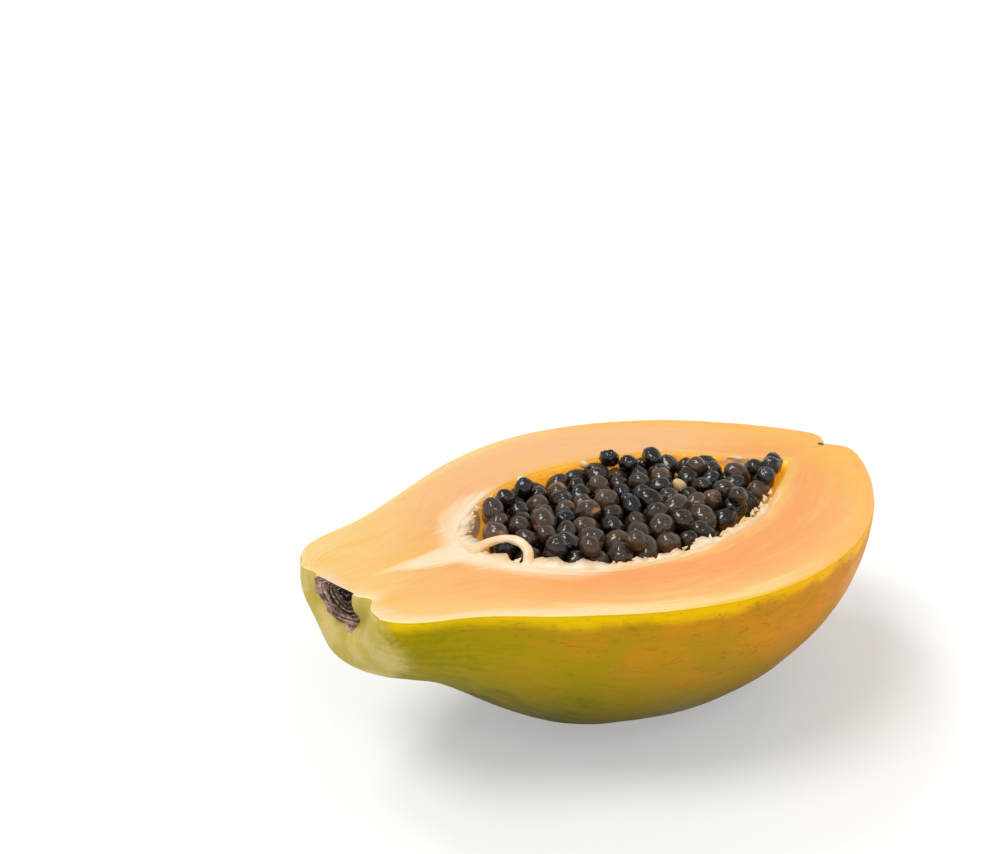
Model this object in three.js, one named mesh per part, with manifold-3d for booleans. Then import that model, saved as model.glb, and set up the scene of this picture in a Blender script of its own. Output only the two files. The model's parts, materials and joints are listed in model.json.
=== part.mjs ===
// Half of a ripe papaya, cut lengthwise and lying on its rounded back with the cut face up.
//
// The pieces are the fruit itself (skin and flesh grown as one), the pale pulp that lines part of
// the seed hollow and ends in one loose strand, the heap of seeds in the hollow, and the corky scar
// of the stalk. Millimetres, +Z up. The fruit's long axis runs along X, from the stalk end at -X to
// the blossom end at +X. The shapes are worked out with the stalk scar near x = 0 and the cut face
// at z = 0, and the whole group is then moved so that it stands on z = 0 about its own middle.

import * as THREE from "three";
import { mergeVertices } from "three/addons/utils/BufferGeometryUtils.js";
import Module from "manifold-3d";

const wasm = await Module();
wasm.setup();

// Outline of the fruit on the cut face, from the middle of the stalk end, over the shoulder, along
// the neck and belly, and into the dimple at the blossom end: [distance along, half width].
const FRUIT_OUTLINE = [
  [2.2, 0], [1.5, 8.6], [-1, 13.4], [2, 20], [8.1, 24.4], [22, 29.4], [40, 39.8], [60, 49.7], [83, 55.1],
  [107.6, 52.4], [131, 42.4], [148.7, 28], [160.1, 14.6], [164.2, 6.2], [161, 0.6], [158.6, 0],
];
const FRUIT_RINGS = 50;
const FRUIT_SIDES = 44;
const BELLY_RATIO = 1.016; // depth below the cut face over half width, in the middle of the fruit
const NECK_DROP = { at: 44, reach: 23, extra: 0.1 }; // the underside is fuller where the neck widens
const BLOSSOM_DROP = { from: 105, to: 158, extra: 0.22 }; // and under the blossom end
const STALK_END = { across: 1, slant: 0.067, reach: 40 }; // to the far side, and not quite square
const CARPELS = 5; // the fruit grew from five leaves, which show as five faint ridges
const RIDGE = { middle: 0.004, ends: 0.014 }; // height of a ridge over the radius there
const LOBES = { height: 0.6, from: 2, full: 12, fade: 18, gone: 30 }; // the ridges meet as lobes at the ends
const FLAT_DEPTH = 0.5; // the weight of the fruit flattens its back this much

// Outline of the seed hollow, in the same way. Its blossom end runs out to a point.
const HOLLOW_OUTLINE = [
  [36, 0], [37.6, 6.4], [43.5, 14.4], [51, 21], [60, 25.8], [72, 28.6], [84, 29], [97, 27.6],
  [109, 24], [119, 18.4], [127, 12], [135, 5.6], [142, 0],
];
const HOLLOW_RINGS = 34;
const HOLLOW_SIDES = 30;
const HOLLOW_RATIO = 0.96; // its depth over its half width
const HOLLOW_RIDGE = 0.025; // the wall bulges in a little between the five rows of seeds
const TIP_DRIFT = { from: 112, by: -3.4 }; // its point ends a little to the near side (-Y)

const GAP = 0.3; // left between neighbours
const LEAST_RADIUS = 0.1; // a ring moved in from its wall doesn't close before this

const PULP_RINGS = 26;
const PULP_SIDES = 32;
const PULP_THICKNESS = 2.6;
const PULP_BAND = { bottom: -8, top: 0.4 }; // it stands a little proud, because the knife tears it
const PULP_NEAR = { from: 2, full: 12 }; // it covers the near side (-Y),
const PULP_STALK = { full: 42, gone: 54 }; // and the stalk end of the hollow,
const PULP_END = { full: 112, gone: 128 }; // and thins out towards the blossom end
const BARE = 2; // where there is none, the space for the seeds reaches this far past the wall
const TUFTS = { count: 30, size: 1.5, reach: 0.9, inside: 1.7, top: 0.4, bottom: -0.7 };
const TUFTS_FAR_SIDE = 8; // rim points round the corner of the stalk end that have tufts too
const STRAND_RADIUS = 1.4;
const STRAND_ROUTE = [
  [36.6, 0.6, -2.2], [39.8, 2.2, 0.9], [44.4, 1.2, 2.8], [48.2, -3.4, 3], [48.6, -8.6, 2],
  [47.2, -13.4, 0.2], [46, -16.2, -3],
];
const STRAND_STEPS = 22;

const SEED_RADIUS = 2.95;
const SEED_SPREAD = 0.3; // the largest is this much bigger than the smallest
const SEED_LENGTH = 1.1; // a seed is a little longer than it is thick
const SEED_SIDES = 7;
const SEED_RINGS = 4;
const SEED_PITCH = 7.1;
const SEED_SHAKE = 1.2; // how far a seed is off its place in the grid
const SEED_LIFT = 0.9; // its middle stands this much over or under the level of the heap
const SEED_TILT = 0.8;
const HEAP_TOP = -0.7; // height of the upper seeds' middles in the centre of the hollow
const HEAP_FALL = 3.3; // and how much lower they lie against its wall
const SETTLE_PASSES = 60;
const CORE_RINGS = 20;
const CORE_SIDES = 20;
const CORE_CLEARANCE = 1.2; // the core is plainer than the wall round it, so it keeps this far off
const CORE_DROP = 1.3; // the packed seeds and juice below reach this near the upper seeds' middles

const SCAR_RADIUS = 7;
const SCAR_SIDES = 28;
const SCAR_ACROSS = 2.2; // the scar is off the axis
const SOCKET_DEPTH = 6.3;
// The dried face of the stalk scar in rings: [distance along, radius].
const SCAR_OUTLINE = [
  [4.6, 0], [4.2, 1.9], [3.6, 3.4], [2.4, 4.1], [1.9, 4.9], [2.7, 5.5], [2.3, 6], [1.3, 6.6], [2, 7],
  [6, 7], [6, 0],
];

const FAR = 300; // past every side of the fruit
const SKIN_GREEN = new THREE.Color(0.35, 0.42, 0.04);
const SKIN_GOLD = new THREE.Color(0.78, 0.5, 0.06);
const FLESH = new THREE.Color(0.95, 0.55, 0.24);
const PULP = new THREE.Color(0.93, 0.8, 0.56);
const SEED = new THREE.Color(0.05, 0.04, 0.035);
const CORK = new THREE.Color(0.22, 0.15, 0.11);

const fruitLength = FRUIT_OUTLINE[FRUIT_OUTLINE.length - 1][0];
const hollowStart = HOLLOW_OUTLINE[0][0];
const hollowEnd = HOLLOW_OUTLINE[HOLLOW_OUTLINE.length - 1][0];
const hollowWidest = Math.max(...HOLLOW_OUTLINE.map(([, halfWidth]) => halfWidth));

// 0 before low, 1 after high, and a soft step between them.
const softStep = THREE.MathUtils.smoothstep;

// Numbers from 0 to 1 that look random and are the same each time.
function makeDice(start) {
  let state = start;
  return () => {
    state = (Math.imul(state, 1664525) + 1013904223) >>> 0;
    return state / 4294967296;
  };
}

// A smooth curve through an outline, as points spaced evenly along it.
function trace(outline, count) {
  return new THREE.SplineCurve(outline.map(([x, r]) => new THREE.Vector2(x, r))).getSpacedPoints(count);
}

// At each point of an outline, the direction into the shape.
function inwardsOf(points) {
  return points.map((point, i) => {
    if (i === 0) return new THREE.Vector2(1, 0);
    if (i === points.length - 1) return new THREE.Vector2(-1, 0);
    const along = points[i + 1].clone().sub(points[i - 1]).normalize();
    return new THREE.Vector2(along.y, -along.x);
  });
}

// A closed geometry's shared points are merged, and it becomes a solid for cutting and joining.
function solidOf(geometry) {
  const bare = geometry.index ? geometry.toNonIndexed() : geometry.clone();
  bare.deleteAttribute("normal");
  bare.deleteAttribute("uv");
  const merged = mergeVertices(bare, 1e-4);
  return new wasm.Manifold(
    new wasm.Mesh({
      numProp: 3,
      vertProperties: new Float32Array(merged.attributes.position.array),
      triVerts: new Uint32Array(merged.index.array),
    }),
  );
}

function geometryOf(solid) {
  const mesh = solid.getMesh();
  return new THREE.BufferGeometry()
    .setAttribute("position", new THREE.BufferAttribute(new Float32Array(mesh.vertProperties), 3))
    .setIndex(new THREE.BufferAttribute(new Uint32Array(mesh.triVerts), 1));
}

// The outside of the largest body: a cut can leave crumbs, which are dropped, and seeds that meet
// over a dip can seal a pocket, which is filled.
function largest(solid) {
  return solid.decompose().sort((a, b) => b.volume() - a.volume())[0];
}

function joined(solids) {
  return solids.reduce((whole, solid) => whole.add(solid));
}

// Everything between two heights.
function layer(bottom, top) {
  const slab = new THREE.BoxGeometry(2 * FAR, 2 * FAR, top - bottom);
  return solidOf(slab.translate(0, 0, (bottom + top) / 2));
}

// A closed body of rings. The first and last points of the outline are on its axis, and place(point,
// angle, i) says where point i goes at an angle round the axis (0 at +Y, a quarter turn is down).
function ringBody(points, sides, place) {
  const positions = [];
  const index = [];
  const lastPoint = points.length - 1;
  const rings = lastPoint - 1;
  const add = (i, angle) => positions.push(...place(points[i], angle, i).toArray());
  add(0, 0);
  for (let i = 1; i < lastPoint; i++) {
    for (let side = 0; side < sides; side++) add(i, ((side + 0.5) * 2 * Math.PI) / sides);
  }
  add(lastPoint, 0);
  const end = rings * sides + 1;
  for (let side = 0; side < sides; side++) {
    const next = (side + 1) % sides;
    index.push(0, 1 + side, 1 + next);
    for (let ring = 0; ring < rings - 1; ring++) {
      const a = 1 + ring * sides + side;
      const b = 1 + ring * sides + next;
      index.push(a, a + sides, b, b, a + sides, b + sides);
    }
    index.push(end, end - sides + next, end - sides + side);
  }
  return solidOf(
    new THREE.BufferGeometry()
      .setAttribute("position", new THREE.Float32BufferAttribute(positions, 3))
      .setIndex(index),
  );
}

// One of the five ridges runs along the very bottom, and the cut face crosses midway up two sides.
function ridge(angle) {
  return Math.cos(CARPELS * (angle - Math.PI / 2));
}

// The underside is not round: its depth for a half width depends on how far along it lies.
function depthRatio(x) {
  const neck = Math.exp(-(((x - NECK_DROP.at) / NECK_DROP.reach) ** 2));
  const blossom = softStep(x, BLOSSOM_DROP.from, BLOSSOM_DROP.to);
  return BELLY_RATIO + NECK_DROP.extra * neck + BLOSSOM_DROP.extra * blossom;
}

function placeSkin(point, angle) {
  const toEnd = Math.min(Math.abs((2 * point.x) / fruitLength - 1) ** 4, 1);
  const height = THREE.MathUtils.lerp(RIDGE.middle, RIDGE.ends, toEnd);
  const wave = 1 + height * ridge(angle);
  const lobe = softStep(point.y, LOBES.from, LOBES.full) * (1 - softStep(point.y, LOBES.fade, LOBES.gone));
  const outwards = point.x < fruitLength / 2 ? -LOBES.height : LOBES.height;
  const stalkEnd = 1 - softStep(point.x, 0, STALK_END.reach);
  const across = point.y * wave * Math.cos(angle);
  const along = outwards * lobe * toEnd * ridge(angle) - STALK_END.slant * across * stalkEnd;
  const depth = point.y * (wave / (1 + height)) * depthRatio(point.x) * Math.sin(angle);
  return new THREE.Vector3(point.x + along, across + STALK_END.across * stalkEnd, -depth);
}

// How far to the side the hollow lies there.
function drift(x) {
  return TIP_DRIFT.by * softStep(x, TIP_DRIFT.from, hollowEnd);
}

function placeWall(point, angle) {
  const wave = 1 - HOLLOW_RIDGE * ridge(angle) * softStep(point.y, 0, LOBES.full);
  const across = point.y * wave * Math.cos(angle);
  const depth = point.y * wave * HOLLOW_RATIO * Math.sin(angle);
  return new THREE.Vector3(point.x, across + drift(point.x), -depth);
}

// How much pale pulp covers the hollow's wall there, from 0 to 1. The far side is bare.
function pulpShare(x, y) {
  const nearSide = softStep(-y, PULP_NEAR.from, PULP_NEAR.full);
  const stalkEnd = 1 - softStep(x, PULP_STALK.full, PULP_STALK.gone);
  return Math.max(nearSide, stalkEnd) * (1 - softStep(x, PULP_END.full, PULP_END.gone));
}

// The hollow as a solid, moved in from its wall by a distance that may follow the pulp's share.
function hollowBody(rings, sides, distanceFor, place = placeWall) {
  const points = trace(HOLLOW_OUTLINE, rings);
  const inwards = inwardsOf(points);
  return ringBody(points, sides, (point, angle, i) => {
    const distance = distanceFor(pulpShare(point.x, point.y * Math.cos(angle)));
    const moved = point.clone().addScaledVector(inwards[i], distance);
    const atEnd = i === 0 || i === rings;
    return place(moved.setY(atEnd ? 0 : Math.max(moved.y, LEAST_RADIUS)), angle);
  });
}

const wall = trace(HOLLOW_OUTLINE, 60);
const wallInwards = inwardsOf(wall);

function hollowHalfWidth(x) {
  const after = wall.findIndex((point) => point.x >= x);
  if (after <= 0) return 0;
  const [a, b] = [wall[after - 1], wall[after]];
  return THREE.MathUtils.mapLinear(x, a.x, b.x, a.y, b.y);
}

// Height of the upper seeds' middles over a place in the hollow.
function heapLevel(x, y) {
  const halfWidth = Math.max(hollowHalfWidth(x), 1);
  return HEAP_TOP - HEAP_FALL * Math.min((y / halfWidth) ** 2, 1);
}

// Keeps a seed clear of the wall, or of the pulp on it, by the nearest point of the wall's outline.
function keepInside(seed) {
  const out = Math.hypot(seed.at.y, Math.min(seed.at.z, 0) / HOLLOW_RATIO);
  const here = new THREE.Vector2(seed.at.x, out);
  const distances = wall.map((point) => point.distanceTo(here));
  const nearest = distances.indexOf(Math.min(...distances));
  const inwards = wallInwards[nearest];
  const room = here.clone().sub(wall[nearest]).dot(inwards);
  const lining = (PULP_THICKNESS + TUFTS.reach + GAP) * pulpShare(wall[nearest].x, seed.at.y);
  const short = SEED_LENGTH * seed.radius + 2 * GAP + lining - room;
  if (short <= 0) return;
  const share = Math.max(out + short * inwards.y, 0) / Math.max(out, LEAST_RADIUS);
  seed.at.x += short * inwards.x;
  seed.at.y *= share;
  if (seed.at.z < 0) seed.at.z *= share;
}

const strandRoute = new THREE.CatmullRomCurve3(STRAND_ROUTE.map((p) => new THREE.Vector3(...p)));
const strandPoints = strandRoute.getPoints(2 * STRAND_STEPS);

// Pushes a seed out from under the loose strand.
function keepOffStrand(seed) {
  for (const point of strandPoints) {
    const apart = seed.at.clone().sub(point);
    const overlap = SEED_LENGTH * seed.radius + STRAND_RADIUS + GAP - apart.length();
    if (overlap > 0) seed.at.add(apart.setLength(overlap));
  }
}

// Pushes two seeds apart as far as they overlap.
function keepApart(a, b) {
  const apart = b.at.clone().sub(a.at);
  const overlap = SEED_LENGTH * (a.radius + b.radius) - apart.length();
  if (overlap <= 0) return;
  apart.setLength(overlap / 2);
  a.at.sub(apart);
  b.at.add(apart);
}

// The upper seeds: a hexagonal grid, shaken, and then settled until none overlap.
function makeSeeds() {
  const dice = makeDice(5);
  const between = (reach) => reach * (2 * dice() - 1);
  const rowStep = SEED_PITCH * Math.sqrt(0.75);
  const rows = Math.ceil(hollowWidest / rowStep);
  const seeds = [];
  for (let row = -rows; row <= rows; row++) {
    const start = hollowStart + (row % 2 ? SEED_PITCH / 2 : 0);
    for (let x = start; x < hollowEnd; x += SEED_PITCH) {
      const at = new THREE.Vector3(x + between(SEED_SHAKE), row * rowStep + between(SEED_SHAKE), 0);
      const lift = between(SEED_LIFT);
      const radius = SEED_RADIUS * (1 + between(SEED_SPREAD / 2));
      const turn = between(Math.PI);
      const tilt = between(SEED_TILT);
      const inside = Math.abs(at.y) < hollowHalfWidth(at.x) - radius / 2;
      if (inside) seeds.push({ at, lift, radius, turn, tilt });
    }
  }
  for (let pass = 0; pass < SETTLE_PASSES; pass++) {
    seeds.forEach((a, i) => seeds.slice(i + 1).forEach((b) => keepApart(a, b)));
    for (const seed of seeds) {
      seed.at.z = heapLevel(seed.at.x, seed.at.y) + seed.lift;
      keepInside(seed);
      keepOffStrand(seed);
    }
  }
  return seeds;
}

function seedBody(seed) {
  const body = new THREE.SphereGeometry(1, SEED_SIDES, SEED_RINGS).rotateZ(Math.PI / 2);
  const thick = seed.radius / Math.sqrt(SEED_LENGTH);
  body.scale(seed.radius * SEED_LENGTH, thick, thick);
  body.rotateY(seed.tilt).rotateZ(seed.turn);
  return solidOf(body.translate(seed.at.x, seed.at.y + drift(seed.at.x), seed.at.z));
}

// What lies under the upper seeds: the hollow, filled to just below their middles. A point of its
// top stands over the point of the wall that mirrors it, so that the two never cross.
function placeCore(point, angle) {
  const below = placeWall(point, Math.min(angle, 2 * Math.PI - angle));
  if (angle <= Math.PI) return below;
  const level = heapLevel(below.x, below.y - drift(below.x)) - CORE_DROP;
  return below.setZ(Math.max(level, below.z + GAP));
}

function seedHeap() {
  const clearance = (share) => CORE_CLEARANCE + (PULP_THICKNESS + TUFTS.reach) * share;
  const core = hollowBody(CORE_RINGS, CORE_SIDES, clearance, placeCore);
  return largest(joined([core, ...makeSeeds().map(seedBody)]));
}

// Torn tufts stand along the rim, from round the corner of the stalk end to where the pulp thins out.
function tufts() {
  const dice = makeDice(77);
  const rim = wall.filter((point) => point.x < PULP_END.full);
  const made = [];
  for (let i = 0; i < TUFTS.count; i++) {
    const share = (i + dice()) / TUFTS.count;
    const place = Math.floor(share * (rim.length + TUFTS_FAR_SIDE)) - TUFTS_FAR_SIDE;
    const point = rim[Math.abs(place)];
    const inwards = wallInwards[Math.abs(place)];
    const across = Math.max(point.y + TUFTS.inside * inwards.y, 0);
    const y = place < 0 ? across : -across;
    const z = THREE.MathUtils.lerp(TUFTS.bottom, TUFTS.top, dice());
    const size = TUFTS.size * (0.7 + 0.6 * dice());
    const tuft = new THREE.IcosahedronGeometry(size, 0).scale(1.5, 1, 0.9).rotateZ(Math.PI * dice());
    made.push(solidOf(tuft.translate(point.x + TUFTS.inside * inwards.x, y + drift(point.x), z)));
  }
  return made;
}

// The pale lining, its torn tufts along the rim, and the loose strand.
function pulpBody() {
  const shell = hollowBody(PULP_RINGS, PULP_SIDES, () => GAP);
  const space = hollowBody(PULP_RINGS, PULP_SIDES, (share) => (PULP_THICKNESS + BARE) * share - BARE);
  const lining = shell.intersect(layer(PULP_BAND.bottom, PULP_BAND.top)).subtract(space);
  const section = new THREE.Shape().absarc(0, 0, STRAND_RADIUS, 0, 2 * Math.PI);
  const options = { steps: STRAND_STEPS, curveSegments: 4, extrudePath: strandRoute };
  const strand = solidOf(new THREE.ExtrudeGeometry(section, options));
  return largest(joined([lining, ...tufts(), strand]).intersect(shell));
}

function scarBody() {
  const profile = SCAR_OUTLINE.map(([x, r]) => new THREE.Vector2(r, x));
  const rings = new THREE.LatheGeometry(profile, SCAR_SIDES).rotateZ(-Math.PI / 2);
  rings.rotateX(Math.PI / SCAR_SIDES);
  return solidOf(rings.translate(0, SCAR_ACROSS, 0)).subtract(layer(0, FAR));
}

// The whole fruit, then everything above the knife, the flattened back, the hollow and the socket of
// the stalk are taken away.
function fruitBody() {
  const whole = ringBody(trace(FRUIT_OUTLINE, FRUIT_RINGS), FRUIT_SIDES, placeSkin);
  const lowest = whole.boundingBox().min[2];
  const hollow = hollowBody(HOLLOW_RINGS, HOLLOW_SIDES, () => 0);
  const socket = new THREE.CylinderGeometry(SCAR_RADIUS + GAP, SCAR_RADIUS + GAP, FAR, SCAR_SIDES);
  socket.rotateZ(Math.PI / 2).rotateX(Math.PI / SCAR_SIDES);
  socket.translate(SOCKET_DEPTH - FAR / 2, SCAR_ACROSS, 0);
  const cut = whole.subtract(layer(0, FAR)).subtract(layer(-FAR, lowest + FLAT_DEPTH));
  return largest(cut.subtract(hollow).subtract(solidOf(socket)));
}

// The fruit's faces are coloured by what they are: skin outside, flesh on the cut and in the hollow.
function paintFruit(geometry) {
  const faces = geometry.toNonIndexed();
  const position = faces.attributes.position;
  const colours = [];
  for (let i = 0; i < position.count; i += 3) {
    const [a, b, c] = [0, 1, 2].map((k) => new THREE.Vector3().fromBufferAttribute(position, i + k));
    const normal = b.clone().sub(a).cross(c.clone().sub(a)).normalize();
    const awayFromAxis = normal.y * a.y + normal.z * a.z > 0;
    const isSkin = awayFromAxis && normal.z < 0.5;
    const ripe = softStep(a.x, 0, fruitLength);
    const colour = isSkin ? SKIN_GREEN.clone().lerp(SKIN_GOLD, ripe) : FLESH;
    for (let k = 0; k < 3; k++) colours.push(...colour.toArray());
  }
  faces.setAttribute("color", new THREE.Float32BufferAttribute(colours, 3));
  faces.computeVertexNormals();
  return faces;
}

function piece(name, geometry, look) {
  const mesh = new THREE.Mesh(geometry, new THREE.MeshStandardMaterial({ metalness: 0, ...look }));
  mesh.name = name;
  return mesh;
}

const papaya = new THREE.Group();
papaya.add(
  piece("papaya_half", paintFruit(geometryOf(fruitBody())), { vertexColors: true, roughness: 0.45 }),
  piece("pulp", geometryOf(pulpBody()), { color: PULP, roughness: 0.5 }),
  piece("seeds", geometryOf(seedHeap()), { color: SEED, roughness: 0.2 }),
  piece("stalk_scar", geometryOf(scarBody()), { color: CORK, roughness: 0.85 }),
);

// The origin is on the surface that the fruit lies on, under the middle of the fruit.
const extent = new THREE.Box3().setFromObject(papaya);
const middle = extent.getCenter(new THREE.Vector3());
papaya.position.set(-middle.x, -middle.y, -extent.min.z);

export default papaya;
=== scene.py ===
# %% [markdown]
# # Half of a ripe papaya
# The fruit was cut lengthwise and lies on its rounded back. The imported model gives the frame: its
# size, its place and its four nodes. Every piece below is a finer form of one of those nodes and
# stays where that node is, so the shapes are worked out again from the same driving sizes.

# %% Load the frame
import json
import math

import bmesh
import bpy
import numpy as np
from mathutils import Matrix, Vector, noise

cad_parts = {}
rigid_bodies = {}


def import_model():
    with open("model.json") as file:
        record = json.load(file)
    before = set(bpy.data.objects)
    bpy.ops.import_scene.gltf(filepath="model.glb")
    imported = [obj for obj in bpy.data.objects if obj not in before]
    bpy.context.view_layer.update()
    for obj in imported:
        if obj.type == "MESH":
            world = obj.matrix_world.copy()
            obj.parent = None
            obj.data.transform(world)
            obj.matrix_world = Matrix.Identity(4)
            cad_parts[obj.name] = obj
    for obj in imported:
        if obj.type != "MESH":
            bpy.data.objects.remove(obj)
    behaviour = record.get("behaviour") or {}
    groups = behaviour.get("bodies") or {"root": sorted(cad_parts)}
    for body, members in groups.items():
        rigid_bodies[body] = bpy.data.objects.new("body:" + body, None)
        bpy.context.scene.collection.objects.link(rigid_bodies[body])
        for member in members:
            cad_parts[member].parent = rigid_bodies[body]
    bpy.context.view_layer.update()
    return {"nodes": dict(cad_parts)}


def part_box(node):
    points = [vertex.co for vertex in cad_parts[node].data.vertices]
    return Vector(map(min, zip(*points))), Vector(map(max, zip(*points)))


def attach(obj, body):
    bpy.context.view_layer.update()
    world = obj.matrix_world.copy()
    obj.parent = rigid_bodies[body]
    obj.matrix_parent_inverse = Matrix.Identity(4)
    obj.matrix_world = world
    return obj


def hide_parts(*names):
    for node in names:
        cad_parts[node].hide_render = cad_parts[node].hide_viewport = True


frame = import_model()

print("nodes:", sorted(frame["nodes"]))

# %% [markdown]
# The shapes are thought of in millimetres, with the stalk scar near x = 0 and the knife's cut at
# z = 0. The corner of the scar's own box and the height of the fruit say where that is in metres.

# %% From millimetres on the fruit to metres in the frame
MM = 0.001
SCAR_BACK = 6
fruit_low, fruit_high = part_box("papaya_half")
scar_low, scar_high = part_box("stalk_scar")
ORIGIN = np.array([scar_high.x - SCAR_BACK * MM, 0, fruit_high.z])


def in_metres(points):
    return np.asarray(points, float) * MM + ORIGIN


print("cut face at", round(fruit_high.z / MM, 2), "mm")

# %% [markdown]
# ## Curves
# An outline has a few listed points, and a Catmull-Rom spline runs through them. Points
# spaced evenly along it make rings of equal width, so no stretch of the fruit is coarser.

# %% Smooth steps and smooth outlines
def smooth_step(value, low, high):
    share = np.clip((value - low) / (high - low), 0, 1)
    return share * share * (3 - 2 * share)


def curve_through(outline, per_span=40):
    points = np.array(outline, float)
    padded = np.vstack([points[:1], points, points[-1:]])
    p0, p1, p2, p3 = (padded[i : i + len(points) - 1, None] for i in range(4))
    t = np.linspace(0, 1, per_span, endpoint=False)[None, :, None]
    start, end = (p2 - p0) / 2, (p3 - p1) / 2
    cubic = 2 * p1 - 2 * p2 + start + end
    square = -3 * p1 + 3 * p2 - 2 * start - end
    spans = cubic * t**3 + square * t**2 + start * t + p1
    return np.vstack([spans.reshape(-1, points.shape[1]), points[-1:]])


def spaced(points, shares):
    """Points at the given shares of the way along a dense line."""
    steps = np.linalg.norm(np.diff(points, axis=0), axis=1)
    way = np.concatenate([[0], np.cumsum(steps)])
    return np.stack([np.interp(shares, way / way[-1], column) for column in points.T], axis=-1)


def even_shares(count):
    return np.linspace(0, 1, count + 1)


# %% [markdown]
# ## The fruit's own form
# A papaya grows from five leaves, which leave five faint ridges and meet as lobes at both ends.
# The widths come from the outline on the cut face, and the depth below it is a little more than
# half the width, most of all under the neck and under the blossom end.

# %% Driving sizes of the skin
FRUIT_OUTLINE = [
    [2.2, 0], [1.5, 8.6], [-1, 13.4], [2, 20], [8.1, 24.4], [22, 29.4], [40, 39.8], [60, 49.7],
    [83, 55.1], [107.6, 52.4], [131, 42.4], [148.7, 28], [160.1, 14.6], [164.2, 6.2], [161, 0.6],
    [158.6, 0],
]
FRUIT_LENGTH = FRUIT_OUTLINE[-1][0]
BELLY_RATIO = 1.016
NECK_AT, NECK_REACH, NECK_EXTRA = 44, 23, 0.1
BLOSSOM_FROM, BLOSSOM_TO, BLOSSOM_EXTRA = 105, 158, 0.22
STALK_SHIFT, STALK_SLANT, STALK_REACH = 1, 0.067, 40
CARPELS = 5
RIDGE_MIDDLE, RIDGE_ENDS = 0.004, 0.014
LOBE_HEIGHT = 0.6
FLAT_DEPTH = 0.5


def ridge(angle):
    return np.cos(CARPELS * (angle - np.pi / 2))


def depth_ratio(x):
    neck = np.exp(-(((x - NECK_AT) / NECK_REACH) ** 2))
    return BELLY_RATIO + NECK_EXTRA * neck + BLOSSOM_EXTRA * smooth_step(x, BLOSSOM_FROM, BLOSSOM_TO)


def place_skin(x, r, angle):
    """Points of the skin. Angle 0 is the far side of the cut, a quarter turn is straight down."""
    to_end = np.minimum(np.abs(2 * x / FRUIT_LENGTH - 1) ** 4, 1)
    height = RIDGE_MIDDLE + (RIDGE_ENDS - RIDGE_MIDDLE) * to_end
    wave = 1 + height * ridge(angle)
    lobe = smooth_step(r, 2, 12) * (1 - smooth_step(r, 18, 30))
    outwards = np.where(x < FRUIT_LENGTH / 2, -LOBE_HEIGHT, LOBE_HEIGHT)
    stalk_end = 1 - smooth_step(x, 0, STALK_REACH)
    across = r * wave * np.cos(angle)
    along = x + outwards * lobe * to_end * ridge(angle) - STALK_SLANT * across * stalk_end
    depth = r * wave / (1 + height) * depth_ratio(x) * np.sin(angle)
    return np.stack([along, across + STALK_SHIFT * stalk_end, -depth], axis=-1)


# %% [markdown]
# The hollow is worked out in the same way. Its wall bulges in between the rows of seeds, and its
# point drifts a little to the near side.

# %% Driving sizes of the seed hollow
HOLLOW_OUTLINE = [
    [36, 0], [37.6, 6.4], [43.5, 14.4], [51, 21], [60, 25.8], [72, 28.6], [84, 29], [97, 27.6],
    [109, 24], [119, 18.4], [127, 12], [135, 5.6], [142, 0],
]
HOLLOW_START, HOLLOW_END = HOLLOW_OUTLINE[0][0], HOLLOW_OUTLINE[-1][0]
HOLLOW_RATIO, HOLLOW_RIDGE = 0.96, 0.025
DRIFT_FROM, DRIFT_BY = 112, -3.4


def drift(x):
    return DRIFT_BY * smooth_step(x, DRIFT_FROM, HOLLOW_END)


def place_wall(x, r, angle):
    wave = 1 - HOLLOW_RIDGE * ridge(angle) * smooth_step(r, 0, 12)
    across = r * wave * np.cos(angle) + drift(x)
    return np.stack([x + 0 * angle, across, -r * wave * HOLLOW_RATIO * np.sin(angle)], axis=-1)


# %% [markdown]
# ## One closed body
# Skin, cut face and hollow are one piece on the real fruit, so they are one closed mesh here. Each
# ring of the fruit is a loop: down round the skin from the far side, up to the near rim, across the
# cut to the hollow, round the hollow, and back across the cut. The loops are joined one after the
# other, and at both ends they fold flat, where merging close points seals the body. Both edges of
# the cut are turned over by a small radius, because a knife never leaves a perfect corner. The end
# of the neck is a slanting face between two shoulders, with the scar of the stalk on it.

# %% Loops of the fruit
RINGS = 280
FACE_RINGS = 20
SKIN_SIDES, HOLLOW_SIDES, CUT_COLUMNS = 92, 40, 34
RIM_RADIUS, HOLLOW_RIM_RADIUS = 0.5, 0.8
END_FACE = [[1.2, 0], [1.2, 4], [1.3, 7.7]]
FAR_SHOULDER = [[0, -1], [4, -1.8], [6.5, -2.3], [10, -1.5], [13, -0.6], [17, 0.4], [22, 0], [60, 0]]
NEAR_SHOULDER = [
    [0, -1], [4, 0], [6.2, 0.5], [8, 1.4], [9.6, 2.8], [12, 3], [15, 1.9], [18, 0.8], [22, 0], [60, 0],
]

UNDER_FULL, UNDER_TURN = 1.4, 0.42

skin_curve = curve_through(FRUIT_OUTLINE)
skin_curve = skin_curve[np.argmax(skin_curve[:, 1] > END_FACE[-1][1]) :]
face_line = spaced(curve_through(END_FACE), even_shares(FACE_RINGS))
skin_line = spaced(skin_curve, even_shares(RINGS - FACE_RINGS))
profile = np.vstack([face_line[:-1], skin_line])
stalk_half = np.arange(RINGS + 1)[:, None] < RINGS / 2
hollow_shares = np.interp(np.arange(RINGS + 1), [0, FACE_RINGS, RINGS], [0, 0.02, 1])
hollow_line = spaced(curve_through(HOLLOW_OUTLINE), hollow_shares)
far_shoulder, near_shoulder = curve_through(FAR_SHOULDER), curve_through(NEAR_SHOULDER)


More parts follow.
